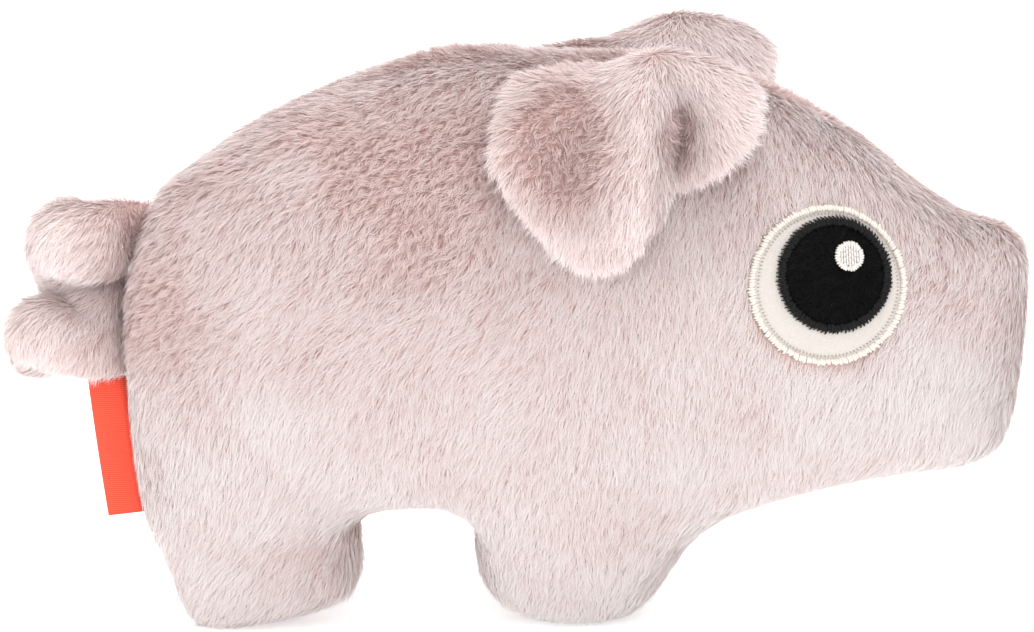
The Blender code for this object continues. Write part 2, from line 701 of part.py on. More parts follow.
def label_frame(loop):
    """The label's top corner, just clear of the rear seam's bulge, and its sewn edge's direction."""
    z = LABEL_TOP_SHARE * BODY_HEIGHT
    ends = [Vector((rear_seam_at(loop, h), 0, h)) for h in (z, z - LABEL_LENGTH)]
    along = (ends[1] - ends[0]).normalized()
    out = Vector((along.z, 0, -along.x))
    rump = loop[loop[:, 0] < BODY_LENGTH / 8]
    beside = rump[np.abs(rump[:, 1] - z + LABEL_LENGTH / 2) < LABEL_LENGTH]
    bulge = max(out.x * (x - ends[0].x) + out.z * (h - z) for x, h in beside)
    return ends[0] + out * max(bulge, 0), along


def make_bodies(loop, tree, root):
    """Empties on the axes of the ears, the tail and the label."""
    rows = ear_cage(tree)
    inmost = max(point.y for point in rows[0])
    first, last = rows[0][0], rows[0][-1]
    ear_axis = last - first
    ear_axis.y = 0
    ear_axis.normalize()
    middle = (first + last) / 2 + Vector((-ear_axis.z, 0, ear_axis.x)) * EAR_HINGE_RISE
    tail, tail_axis, _ = tail_root()
    top, along = label_frame(loop)
    places = {
        "right_ear": Vector((middle.x, inmost + EAR_HINGE_IN, middle.z)),
        "left_ear": Vector((middle.x, -inmost - EAR_HINGE_IN, middle.z)),
        "tail": tail,
        "label": top + Vector((along.z, 0, -along.x)) * LABEL_HINGE_OUT,
    }
    bodies = {}
    for name, place in places.items():
        empty = bpy.data.objects.new(name + "_axis", None)
        empty.location = place
        empty.parent = root
        bpy.data.collections[CUTTERS].objects.link(empty)
        bodies[name] = empty
    return bodies, {"ear": ear_axis, "tail": tail_axis, "label": along}


def part_corners():
    """The lowest and highest corner of all the pieces together."""
    bpy.context.view_layer.update()
    graph = bpy.context.evaluated_depsgraph_get()
    places = []
    for thing in bpy.data.collections[COLLECTION].objects:
        ready = thing.evaluated_get(graph)
        mesh = ready.to_mesh()
        points = np.empty(len(mesh.vertices) * 3)
        mesh.vertices.foreach_get("co", points)
        turn = np.array(ready.matrix_world)
        places.append(points.reshape(-1, 3) @ turn[:3, :3].T + turn[:3, 3])
        ready.to_mesh_clear()
    places = np.concatenate(places)
    return places.min(axis=0), places.max(axis=0)


def main():
    """Build the pig with the middle of its length over the origin and its soles on the floor."""
    clear_scene()
    for name in (COLLECTION, CUTTERS):
        bpy.context.scene.collection.children.link(bpy.data.collections.new(name))
    root = bpy.data.objects.new("pig_origin", None)
    bpy.data.collections[CUTTERS].objects.link(root)
    materials = {name: make_material(name) for name in COLOURS}

    corners = np.array([at_shares(s) for s in OUTLINE_SHARES])
    loop = smooth_loop(corners, EDGE_STEP)
    loop[:, 1] -= loop[:, 1].min()
    tree = surface_tree(loop)
    bodies, axes = make_bodies(loop, tree, root)
    make_panels(loop, materials, root)
    make_fillings(loop, materials, root)
    make_eyes(tree, materials, root)
    make_ears(tree, materials, bodies)
    make_tail(materials, bodies["tail"])
    make_label(loop, materials, bodies["label"])

    low, high = part_corners()
    middle = (low + high) / 2
    root.location = (-middle[0], 0, -SOLE_DEPTH)
    low, high = part_corners()
    print("corners", low.round(4), high.round(4))
    for name, empty in bodies.items():
        print(name, "turns about", [round(v, 5) for v in empty.matrix_world.translation])
    for name, axis in axes.items():
        print(name, "axis", [round(v, 4) for v in axis])


main()
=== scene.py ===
# %% [markdown]
# # Dressing a plush pig
#
# The solids of the toy are already built: two side panels, the filling, two folded ears, a
# curled tail, the sewn eyes and a small ribbon label. They say where everything is, how big
# it is and what it moves with. This lesson gives each of them the surface of the real thing:
# a short combed pile, real threads in the embroidery, a woven ribbon. Everything is in
# metres, with +X towards the snout and the pig's right side facing -Y.

# %% Load the solids
import math

import bmesh
import bpy
import numpy as np
from mathutils import Matrix, Vector
from mathutils.bvhtree import BVHTree
from mathutils.kdtree import KDTree


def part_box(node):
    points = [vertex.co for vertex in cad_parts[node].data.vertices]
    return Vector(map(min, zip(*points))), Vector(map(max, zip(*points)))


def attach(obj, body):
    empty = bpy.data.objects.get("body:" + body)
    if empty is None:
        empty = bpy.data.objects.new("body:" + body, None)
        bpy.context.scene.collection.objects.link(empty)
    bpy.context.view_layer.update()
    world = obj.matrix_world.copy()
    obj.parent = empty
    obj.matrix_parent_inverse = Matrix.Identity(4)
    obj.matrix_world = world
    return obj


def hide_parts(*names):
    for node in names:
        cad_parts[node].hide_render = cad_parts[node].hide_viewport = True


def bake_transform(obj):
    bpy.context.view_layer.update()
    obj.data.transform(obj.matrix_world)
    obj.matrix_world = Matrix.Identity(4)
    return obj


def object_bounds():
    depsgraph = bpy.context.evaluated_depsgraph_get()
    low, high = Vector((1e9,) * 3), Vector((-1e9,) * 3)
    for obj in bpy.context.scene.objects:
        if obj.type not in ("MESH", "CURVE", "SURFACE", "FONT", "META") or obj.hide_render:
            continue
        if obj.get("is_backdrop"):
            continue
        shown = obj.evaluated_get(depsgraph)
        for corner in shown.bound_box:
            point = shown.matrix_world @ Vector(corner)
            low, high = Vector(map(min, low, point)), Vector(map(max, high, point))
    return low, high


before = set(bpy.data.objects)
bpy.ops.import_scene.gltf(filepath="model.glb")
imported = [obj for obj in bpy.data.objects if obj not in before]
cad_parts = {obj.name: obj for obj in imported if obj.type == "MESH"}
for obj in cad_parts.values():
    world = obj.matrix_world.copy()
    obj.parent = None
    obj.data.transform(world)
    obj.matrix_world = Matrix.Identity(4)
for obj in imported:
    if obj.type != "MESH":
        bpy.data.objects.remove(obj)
solid_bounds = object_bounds()

# %% [markdown]
# ## The camera
#
# The toy is photographed from its right side, a little from the snout's end and a little
# from above, with a long lens and the camera rolled by two degrees. A long lens is made by
# standing far away and narrowing the view, so the lens follows from the distance and from
# how many metres the picture is wide. Building the three axes by hand, instead of pointing a
# camera with a constraint, keeps the roll exact.

# %% Camera
PICTURE_PIXELS = 1034
METRES_PER_PIXEL = 0.000166
PICTURE_WIDTH = PICTURE_PIXELS * METRES_PER_PIXEL
CAMERA_AWAY = 0.90
CAMERA_TURN = math.radians(6.0)
CAMERA_RAISE = math.radians(11.0)
CAMERA_ROLL = math.radians(2.35)
CAMERA_TARGET = Vector((0.0008, 0.0, 0.0514))


def aim_camera():
    """A long lens that looks at the pig's right side."""
    right = Vector((math.cos(CAMERA_TURN), math.sin(CAMERA_TURN), 0))
    level = Vector((-math.sin(CAMERA_TURN), math.cos(CAMERA_TURN), 0))
    ahead = level * math.cos(CAMERA_RAISE) - Vector((0, 0, math.sin(CAMERA_RAISE)))
    up = right.cross(ahead)
    rolled_right = right * math.cos(CAMERA_ROLL) - up * math.sin(CAMERA_ROLL)
    rolled_up = right * math.sin(CAMERA_ROLL) + up * math.cos(CAMERA_ROLL)
    camera = bpy.data.objects.new("camera", bpy.data.cameras.new("camera"))
    camera.matrix_world = Matrix((rolled_right, rolled_up, -ahead)).transposed().to_4x4()
    camera.location = CAMERA_TARGET - ahead * CAMERA_AWAY
    camera.data.lens = camera.data.sensor_width * CAMERA_AWAY / PICTURE_WIDTH
    bpy.context.scene.collection.objects.link(camera)
    bpy.context.scene.camera = camera
    return camera


print("lens", round(aim_camera().data.lens, 1), "mm")

# %% [markdown]
# ## Floor and light
#
# The studio is white: the light comes mostly from the front and from the pale table, and
# the pig's back, which looks up, is a little darker than its side. An image of a studio
# could light it, but four lamps are easier to steer: a wide soft one beside the camera, a
# weaker one from the left, one above and a dim one behind, under a pale sky. The floor
# glows a little, as a lit table does, so that it comes out white without burning the toy.
# The colours are shown with the Standard transform, so that white stays white.

# %% Floor and light
WHITE = (1, 1, 1, 1)
FLOOR_COLOUR = (0.93, 0.93, 0.93, 1)
FLOOR_SIZE = 6.0
FLOOR_GLOW = 0.45
SKY_STRENGTH = 0.65
# Each lamp's place, its size in metres and its power in watts.
LAMPS = {
    "front_lamp": ((0.35, -1.30, 0.60), 1.2, 9.2),
    "left_lamp": ((-1.20, -0.60, 0.60), 0.9, 6.5),
    "top_lamp": ((0.30, -0.10, 1.50), 1.0, 13.5),
    "far_lamp": ((0.20, 1.30, 0.50), 1.2, 4.0),
}


def node_material(name):
    """A new material with its node tree, and its Principled shader."""
    material = bpy.data.materials.new(name)
    material.use_nodes = True
    return material, material.node_tree, material.node_tree.nodes["Principled BSDF"]


def make_studio():
    """A pale floor, four soft lamps and a pale sky."""
    bpy.ops.mesh.primitive_plane_add(size=FLOOR_SIZE)
    floor = bpy.context.object
    floor.name = "studio_floor"
    material, tree, shader = node_material("studio_floor")
    shader.inputs["Base Color"].default_value = FLOOR_COLOUR
    shader.inputs["Roughness"].default_value = 0.9
    shader.inputs["Emission Color"].default_value = WHITE
    shader.inputs["Emission Strength"].default_value = FLOOR_GLOW
    floor.data.materials.append(material)
    floor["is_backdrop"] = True
    for name, (place, size, watts) in LAMPS.items():
        lamp = bpy.data.lights.new(name, "AREA")
        lamp.energy = watts
        lamp.size = size
        stand = bpy.data.objects.new(name, lamp)
        stand.location = place
        ahead = CAMERA_TARGET - Vector(place)
        stand.rotation_euler = ahead.to_track_quat("-Z", "Y").to_euler()
        bpy.context.scene.collection.objects.link(stand)
    world = bpy.data.worlds.new("studio_sky")
    world.use_nodes = True
    sky = world.node_tree.nodes["Background"]
    sky.inputs["Color"].default_value = WHITE
    sky.inputs["Strength"].default_value = SKY_STRENGTH
    bpy.context.scene.world = world
    bpy.context.scene.view_settings.view_transform = "Standard"


make_studio()
print("studio with", len(LAMPS), "lamps")

# %% [markdown]
# ## Reading a solid
#
# Every piece takes its place and its size from its solid, and the solid itself must stay as
# it is. So it is only read: as a welded copy, where the way from face to face counts, or as
# an array of its corners, where only the size does.

# %% Read a solid
WELD = 0.00001


def solid_mesh(node):
    """A welded copy of a solid, as a bmesh."""
    bm = bmesh.new()
    bm.from_mesh(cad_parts[node].data)
    bmesh.ops.remove_doubles(bm, verts=bm.verts, dist=WELD)
    bm.normal_update()
    return bm


def solid_points(node):
    """The corners of a solid as an array."""
    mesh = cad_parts[node].data
    points = np.empty(len(mesh.vertices) * 3)
    mesh.vertices.foreach_get("co", points)
    return points.reshape(-1, 3)


print("the right panel's solid has", len(solid_points("right_side_panel")), "corners")

# %% [markdown]
# ## Finding a cloth's outer sheet
#
# A panel, an ear layer and the tail's sleeve are cloth shells: an outer sheet, an inner
# sheet and a thin rim between them. The pile grows on the outer sheet only. One could pick
# its faces by their direction, but a folded ear faces every way. So the surface is walked
# from face to face without crossing a sharp edge, which parts it into its sheets, and the
# sheet that lies farther from the piece inside it is the outer one. A subdivision surface
# then rounds the coarse triangles into a soft skin.

# %% Find a cloth's outer sheet
SHARP_EDGE = math.radians(75)
SKIN_LEVELS = 2


def parted_sheets(bm):
    """The smooth stretches of a surface, the largest first."""
    unseen = set(bm.faces)
    sheets = []
    while unseen:
        queue = [unseen.pop()]
        sheet = []
        while queue:
            face = queue.pop()
            sheet.append(face)
            for edge in face.edges:
                for other in edge.link_faces:
                    if other in unseen and face.normal.angle(other.normal, 0) < SHARP_EDGE:
                        unseen.remove(other)
                        queue.append(other)
        sheets.append(sheet)
    return sorted(sheets, key=lambda sheet: -sum(face.calc_area() for face in sheet))


def outer_sheet(node, inside):
    """The outer sheet of a cloth shell as a rounded mesh; inside names the piece it covers."""
    bm = solid_mesh(node)
    core = solid_mesh(inside)
    tree = BVHTree.FromBMesh(core)
    core.free()
    first, second = parted_sheets(bm)[:2]

    def mean_gap(sheet):
        return np.mean([tree.find_nearest(face.calc_center_median())[3] for face in sheet])

    outer = set(first if mean_gap(first) > mean_gap(second) else second)
    bmesh.ops.delete(bm, geom=[face for face in bm.faces if face not in outer], context="FACES")
    mesh = bpy.data.meshes.new(node + "_sheet")
    bm.to_mesh(mesh)
    bm.free()
    scrap = bpy.data.objects.new(node + "_sheet", mesh)
    bpy.context.scene.collection.objects.link(scrap)
    rounding = scrap.modifiers.new("rounding", "SUBSURF")
    rounding.levels = rounding.render_levels = SKIN_LEVELS
    ready = scrap.evaluated_get(bpy.context.evaluated_depsgraph_get())
    rounded = bpy.data.meshes.new_from_object(ready)
    bpy.data.objects.remove(scrap)
    return rounded


print("skins are rounded", SKIN_LEVELS, "times")

# %% [markdown]
# ## Arrays for the fast work
#
# The toy carries half a million hairs. A loop over vertices could place them, but it would
# take many minutes, so a skin is handed round as arrays: points, triangles and normals, and
# all its hairs are worked out together. The same cell makes an object from arrays.

# %% Meshes to arrays and back
def skin_arrays(mesh):
    """Points, triangles and point normals of a mesh."""
    mesh.calc_loop_triangles()
    points = np.empty(len(mesh.vertices) * 3)
    mesh.vertices.foreach_get("co", points)
    triangles = np.empty(len(mesh.loop_triangles) * 3, np.int64)
    mesh.loop_triangles.foreach_get("vertices", triangles)
    points, triangles = points.reshape(-1, 3), triangles.reshape(-1, 3)
    return {"points": points, "triangles": triangles, "normals": point_normals(points, triangles)}


def unit(vectors):
    """The same directions with length 1."""
    return vectors / np.maximum(np.linalg.norm(vectors, axis=-1, keepdims=True), 1e-12)


def triangle_arrows(points, triangles):
    """For each triangle an arrow that stands square to it and is twice its area long."""
    a, b, c = (points[triangles[:, k]] for k in range(3))
    return np.cross(b - a, c - a)


def triangle_areas(skin):
    """The area of each triangle of a skin."""
    return np.linalg.norm(triangle_arrows(skin["points"], skin["triangles"]), axis=1) / 2


def point_normals(points, triangles):
    """Smooth normals: each point takes the sum of its triangles' arrows."""
    cross = triangle_arrows(points, triangles)
    total = np.zeros_like(points)
    for k in range(3):
        np.add.at(total, triangles[:, k], cross)
    return unit(total)


def skin_tree(skin):
    """A search tree over a skin, to find places on it."""
    return BVHTree.FromPolygons(skin["points"].tolist(), skin["triangles"].tolist())


def dress(piece, body, slot, *nodes):
    """Let a piece ride on its body and let it stand for solids; slot is not used."""
    if piece.name not in bpy.context.scene.collection.objects:
        bpy.context.scene.collection.objects.link(piece)
    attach(piece, body)
    if nodes:
        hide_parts(*nodes)
    return piece


def piece_from(name, points, faces, material):
    """A smooth-shaded object from points and faces."""
    mesh = bpy.data.meshes.new(name)
    mesh.from_pydata(np.asarray(points).tolist(), [], faces)
    mesh.materials.append(material)
    mesh.shade_smooth()
    mesh.update()
    return bpy.data.objects.new(name, mesh)


slope = point_normals(np.eye(3), np.array([[0, 1, 2]]))[0]
print("the way a tilted triangle faces:", slope.round(2))

# %% [markdown]
# ## Noise that is the same each time
#
# Plush is never even: the pile wanders, and single locks stand out. Random numbers could
# give that, but they know nothing of their neighbours. So both come from numbers tied to a
# place. The first function gives every cell of a grid its own steady number. The second
# blends the numbers of the eight corners round a point into a smooth drift. The third
# scatters one centre in each cell and tells every root which lock it belongs to.

# %% Steady noise
def chance(cells, seed):
    """A steady number from 0 to 1 for each cell."""
    mixed = np.sin(cells @ np.array([12.9898, 78.233, 37.719]) + seed * 4.581) * 43758.5453
    return mixed - np.floor(mixed)


def drift(points, size, seed):
    """Smooth noise from -1 to 1 that changes over about the given size."""
    cells = np.floor(points / size)
    part = points / size - cells
    part = part * part * (3 - 2 * part)
    total = np.zeros(len(points))
    for corner in np.ndindex(2, 2, 2):
        weight = np.prod(np.where(corner, part, 1 - part), axis=1)
        total += weight * chance(cells + corner, seed)
    return 2 * total - 1


def locks(points, size, seed):
    """For each point the middle of the lock it belongs to, and the lock's cell."""
    cells = np.floor(points / size)
    least = np.full(len(points), np.inf)
    middle, own = np.zeros_like(points), np.zeros_like(points)
    for step in np.ndindex(3, 3, 3):
        there = cells + step - 1
        spot = (there + np.stack([chance(there, seed + k) for k in range(3)], axis=1)) * size
        away = np.linalg.norm(spot - points, axis=1)
        closer = away < least
        least[closer], middle[closer], own[closer] = away[closer], spot[closer], there[closer]
    return middle, own


print("drift along a line", drift(np.arange(12).reshape(4, 3) / 10, 1, 1).round(2))

# %% [markdown]
# ## Small parts of a finish
#
# Every finish here is Blender's Principled shader with a few nodes before it. The nodes could
# be joined anew in each material, but the same four parts come back all the time: a mix of
# two colours, a number that the mesh carries, a fine noise and a bump. So each gets a
# helper, and with them a first finish for all fibres and threads: a noise that sinks what
# lies between them and darkens it as painted shade.

# %% Helpers for finishes
MIX_SHARE, MIX_FIRST, MIX_SECOND, MIX_COLOUR = 0, 6, 7, 2
NOISE_LOW, NOISE_HIGH = 0.3, 0.7


def mix_colours(tree, share, first, second):
    """A node that mixes two colours by a share; a colour is a value or another node's output."""
    mix = tree.nodes.new("ShaderNodeMix")
    mix.data_type = "RGBA"
    for number, value in ((MIX_SHARE, share), (MIX_FIRST, first), (MIX_SECOND, second)):
        socket = mix.inputs[number]
        if isinstance(value, bpy.types.NodeSocket):
            tree.links.new(value, socket)
        else:
            socket.default_value = value
    return mix.outputs[MIX_COLOUR]


def carried(tree, name):
    """The number that each point of the mesh carries under a name."""
    node = tree.nodes.new("ShaderNodeAttribute")
    node.attribute_name = name
    return node.outputs["Fac"]


def noise(tree, scale, detail=2, rough=0.5):
    """Noise over the object's own space; a scale of 1000 repeats about each millimetre."""
    place = tree.nodes.new("ShaderNodeTexCoord")
    node = tree.nodes.new("ShaderNodeTexNoise")
    node.inputs["Scale"].default_value = scale
    node.inputs["Detail"].default_value = detail
    node.inputs["Roughness"].default_value = rough
    tree.links.new(place.outputs["Object"], node.inputs["Vector"])
    return node.outputs["Fac"]


def fitted(tree, value):
    """The middle of a noise, where most of it lies, taken to the range from 0 to 1."""
    node = tree.nodes.new("ShaderNodeMapRange")
    node.inputs["From Min"].default_value = NOISE_LOW
    node.inputs["From Max"].default_value = NOISE_HIGH
    tree.links.new(value, node.inputs["Value"])
    return node.outputs["Result"]


def bumped(tree, shader, height, depth):
    """Raise a shader's surface by a height from 0 to 1."""
    node = tree.nodes.new("ShaderNodeBump")
    node.inputs["Distance"].default_value = depth
    tree.links.new(height, node.inputs["Height"])
    tree.links.new(node.outputs["Normal"], shader.inputs["Normal"])


def speckled_finish(name, dark, colour, speckle, depth, roughness, gloss):
    """Fine threads as a noise, whose scale, detail and roughness are given, and as its bump."""
    material, tree, shader = node_material(name)
    height = noise(tree, *speckle)
    # The darker colour where the noise is low is painted shade between the fibres.
    mixed = mix_colours(tree, fitted(tree, height), dark, colour)
    tree.links.new(mixed, shader.inputs["Base Color"])
    shader.inputs["Roughness"].default_value = roughness
    shader.inputs["Specular IOR Level"].default_value = gloss
    bumped(tree, shader, height, depth)
    return material


print("noise is read from", NOISE_LOW, "to", NOISE_HIGH)

# %% [markdown]
# ## The finish of the pile and of the cloth under it
#
# A fibre of this plush is dull, and paler at the tip than at the root; its root, a little
# darker and browner, is painted shade for the light that is lost between the hairs. A noise
# in the material could mottle it, but its spots would not follow the hairs. So each hair
# carries two numbers: how far a point is from its root, which sets that painted root shade,
# and how pink it is, and the material mixes its colours by them. Hairs are pinker where the
# pile is rubbed up, so that one looks down between them, and the same pink is painted shade
# in creases and hollows and high on the back. The ears and the tail are of the same plush;
# their paler ends are painted light, because their hair stands freer in the light.

# %% Plush finishes
# The root colour is painted shade between the hairs.
PILE_ROOT = (0.60, 0.405, 0.38, 1)
PILE_TIP = (0.84, 0.832, 0.824, 1)
# The pink of rubbed-up pile, also painted as shade in creases, hollows and high on the back.
PILE_BRUSHED_AND_SHADE = (0.77, 0.615, 0.595, 1)
# The ears' and the tail's paler tips are painted light: the same plush, coloured paler because
# their freer hair is more lit.
EAR_TIP_PAINTED_LIGHT = (0.91, 0.845, 0.83, 1)
TAIL_TIP_PAINTED_LIGHT = (0.97, 0.90, 0.885, 1)
BACKING = (0.52, 0.35, 0.325, 1)
KNIT = 1600
KNIT_DEPTH = 0.0002


def pile_finish(name, tip, brushed):
    """The pile: roots painted darker as shade, and ends that turn pinker with the tint they
    carry, partly painted shade.
    """
    material, tree, shader = node_material(name)
    tinted = mix_colours(tree, carried(tree, "tint"), tip, brushed)
    colour = mix_colours(tree, carried(tree, "reach"), PILE_ROOT, tinted)
    tree.links.new(colour, shader.inputs["Base Color"])
    shader.inputs["Roughness"].default_value = 0.8
    shader.inputs["Specular IOR Level"].default_value = 0.25
    shader.inputs["Sheen Weight"].default_value = 0.25
    shader.inputs["Sheen Roughness"].default_value = 0.5
    return material


def backing_finish():
    """The knitted ground that the pile grows from."""
    material, tree, shader = node_material("plush_ground")
    knit = noise(tree, KNIT)
    tree.links.new(mix_colours(tree, knit, BACKING, PILE_ROOT), shader.inputs["Base Color"])
    shader.inputs["Roughness"].default_value = 0.95
    bumped(tree, shader, knit, KNIT_DEPTH)
    return material


# The ear and tail piles are copies of the plush pile with tips painted paler as light.
plush_pile = pile_finish("plush_pile", PILE_TIP, PILE_BRUSHED_AND_SHADE)
ear_pile_painted_light = pile_finish("ear_pile_painted_light", EAR_TIP_PAINTED_LIGHT, PILE_BRUSHED_AND_SHADE)
tail_pile_painted_light = pile_finish("tail_pile_painted_light", TAIL_TIP_PAINTED_LIGHT, PILE_BRUSHED_AND_SHADE)
plush_ground = backing_finish()
print("finishes:", ", ".join(material.name for material in bpy.data.materials))

# %% [markdown]
# ## The skins
#
# The skin of each side is the panel's outer sheet, rounded. Real stuffing never fills a
# pouch evenly: a crease runs across the hind leg where the foot is pushed forward, and a
# fainter one runs down to the front foot. They could be sculpted by hand, but a groove along
# a line, pressed into the fine mesh after the rounding, is easy to measure and to move. The
# same helper with a negative depth raises a roll, which the ears need, and a second one
# fills out the tail.

# %% Press creases and give a skin its thickness
SKIN_THICKNESS = 0.0008
# Each groove from one X, Z place to another, its width and its depth.
CREASES = [
    ((-0.0443, 0.0160), (-0.0278, 0.0165), 0.0030, 0.0011),
    ((-0.0133, 0.0220), (-0.0073, 0.0080), 0.0040, 0.0007),
]


def press_creases(skin, creases):
    """Push soft grooves into a skin, or raise rolls: each from one X, Z place to another."""
    points = skin["points"]
    for start, end, width, depth in creases:
        start, end = np.array(start), np.array(end)
        along = end - start
        flat = points[:, [0, 2]]
        share = np.clip((flat - start) @ along / (along @ along), 0, 1)
        away = np.linalg.norm(flat - start - share[:, None] * along, axis=1)
        facing = np.abs(skin["normals"][:, 1])
        push = depth * np.exp(-((away / width) ** 2)) * facing
        points -= skin["normals"] * push[:, None]
    skin["normals"] = point_normals(points, skin["triangles"])


def fill_out(skin, places):
    """Swell a skin near some places: each an X, Z place, a width and how far its points move."""
    points = skin["points"]
    for x, z, width, move in places:
        away = np.hypot(points[:, 0] - x, points[:, 2] - z) / width
        points += np.exp(-(away**2))[:, None] * np.array([move[0], 0, move[1]])
    skin["normals"] = point_normals(points, skin["triangles"])


def skin_piece(name, skin, material):
    """The skin as a closed sheet of cloth, thickened inwards."""
    piece = piece_from(name, skin["points"], skin["triangles"].tolist(), material)
    wall = piece.modifiers.new("cloth", "SOLIDIFY")
    wall.thickness = SKIN_THICKNESS
    wall.offset = -1
    return piece


def thickened(piece):
    """The same piece with its thickness made real, ready to be bent."""
    bpy.context.scene.collection.objects.link(piece)
    ready = piece.evaluated_get(bpy.context.evaluated_depsgraph_get())
    piece.data = bpy.data.meshes.new_from_object(ready)
    piece.modifiers.clear()
    bpy.context.scene.collection.objects.unlink(piece)
    return piece


skins = {}
for hand in ("right", "left"):
    side = skin_arrays(outer_sheet(hand + "_side_panel", "torso_filling"))
    press_creases(side, CREASES)
    skins[hand + "_side"] = side
    piece = skin_piece(hand + "_side_skin", side, plush_ground)
    dress(piece, "body", "plush", hand + "_side_panel")
    print(piece.name, len(side["points"]), "points")

# %% [markdown]
# ## Where the eyes lie
#
# The pile must leave the sewn eyes free, so their places come first. They could be typed in
# as numbers, but an eye's solids tell its middle and its size, and the flattest direction
# through them is the way it looks. Against the picture the whole eye sits a little higher
# and farther back, and its ring is a little narrower, because the pile hides the outer ends
# of its stitches.

# %% Eye places
EYE_PIECES = ("eye_white", "eye_border", "pupil", "pupil_border", "eye_highlight")
EYE_SHIFT_FORWARD = -0.0005
EYE_SHIFT_UP = 0.0008
RING_SLACK = 0.0006


def eye_place(hand):
    """An eye's middle and directions, with the middle and radius of each of its pieces."""
    ring = solid_points(hand + "_eye_border")
    middle = (ring.max(axis=0) + ring.min(axis=0)) / 2
    out = np.linalg.svd(ring - ring.mean(axis=0), full_matrices=False)[2][2]
    out *= np.sign(out[1]) * (-1 if hand == "right" else 1)
    forward = unit(np.array([1.0, 0, 0]) - out * out[0])
    up = np.cross(out, forward)
    up *= np.sign(up[2])
    eye = {"middle": middle, "out": out, "forward": forward, "up": up, "hand": hand}
    for piece in EYE_PIECES:
        flat = (solid_points(hand + "_" + piece) - middle) @ np.stack([forward, up], axis=1)
        centre = (flat.max(axis=0) + flat.min(axis=0)) / 2
        away = np.linalg.norm(flat - centre, axis=1)
        eye[piece] = {"centre": centre, "radius": away.max()}
    eye["middle"] = middle + forward * EYE_SHIFT_FORWARD + up * EYE_SHIFT_UP
    eye["eye_border"]["radius"] -= RING_SLACK
    return eye


eyes = {hand: eye_place(hand) for hand in ("right", "left")}
print("eye radius", round(eyes["right"]["eye_border"]["radius"] * 1000, 2), "mm")

# %% [markdown]
# ## Growing the pile: the roots
#
# Real plush is a forest of fine hairs that lie over to one side, the nap. Blender's own hair
# would draw it, but it can't leave this scene as a mesh, so every hair is built here in four
# steps: where it is rooted, how it lies, the blade that it becomes and the piece that it
# belongs to. Roots thrown at random would leave bald spots, so the skin's area is dealt out
# evenly, and each hair is rooted somewhere in its own small share.

# %% Scatter the roots
SQUARE_MM_IN_SQUARE_M = 1e6


def scatter(skin, per_square_mm, rng):
    """Roots spread evenly over a skin, with the skin's normals there."""
    corners = skin["points"][skin["triangles"]]
    area = triangle_areas(skin)
    along = np.cumsum(area) / area.sum()
    count = int(area.sum() * SQUARE_MM_IN_SQUARE_M * per_square_mm)
    which = np.searchsorted(along, (np.arange(count) + rng.random(count)) / count)
    which = np.minimum(which, len(area) - 1)
    u, v = rng.random((2, count))
    u, v = np.where(u + v > 1, 1 - u, u), np.where(u + v > 1, 1 - v, v)
    weights = np.stack([1 - u - v, u, v], axis=1)[..., None]
    roots = (corners[which] * weights).sum(axis=1)
    normals = unit((skin["normals"][skin["triangles"][which]] * weights).sum(axis=1))
    return roots, normals


side_area = triangle_areas(skins["right_side"]).sum() * SQUARE_MM_IN_SQUARE_M
print("the right side skin has", round(side_area), "square mm")

# %% [markdown]
# ## Growing the pile: how a hair lies
#
# A hair leans along the nap, turned by two drifts, and its tip is drawn towards the middle
# of its lock, mostly across the nap. That makes wisps, as on plush that has been handled,
# and not grass. Where hands have rubbed the pile up it stands, curls and shows its pink
# roots; the same pink is also painted shade, in creases and hollows and high on the back.
# Where it lies calm, the hairs run side by side and look paler, with less painted root shade.
# Combing each lock by hand would take days. A style, which is a few numbers, does it for all
# of them, and a table says how much they change where the pile is rubbed up or calm.

# %% Lay the hairs
BLADE_REACH_SHARES = (0.0, 0.5, 1.0)
# What hairs make of their state: a plain share, what being rubbed up adds, what calm adds.
ANSWERS = {
    "turn": (0.7, 1.6, -0.4),
    "lift": (0.75, 1.6, 0.0),
    "length": (1.1, -0.35, 0.0),
    "draw along": (0.15, 0.75, 0.0),
    "gather": (0.9, 0.2, -0.55),
}
GATHER_POWER = 1.2
LEAST_RUN = 0.05


def turned(vectors, axes, angles):
    """Vectors turned about axes that stand square to them."""
    return vectors * np.cos(angles)[:, None] + np.cross(axes, vectors) * np.sin(angles)[:, None]


def rubbed_and_shaded_share(roots, style):
    """How far the pile is rubbed up at each root, together with the painted shade that the
    style's rule adds, and how calm it lies, each from 0 to 1.
    """
    field = drift(roots, style["patch"], style["seed"] + 11)
    field += 0.5 * drift(roots, style["patch"] * 0.4, style["seed"] + 12)
    field = field * style["patch_depth"] + style["rubbed"](roots)
    share = np.clip(field, 0, 1)
    calm = np.clip(-1.4 * field, 0, 1)
    return share * share * (3 - 2 * share), calm


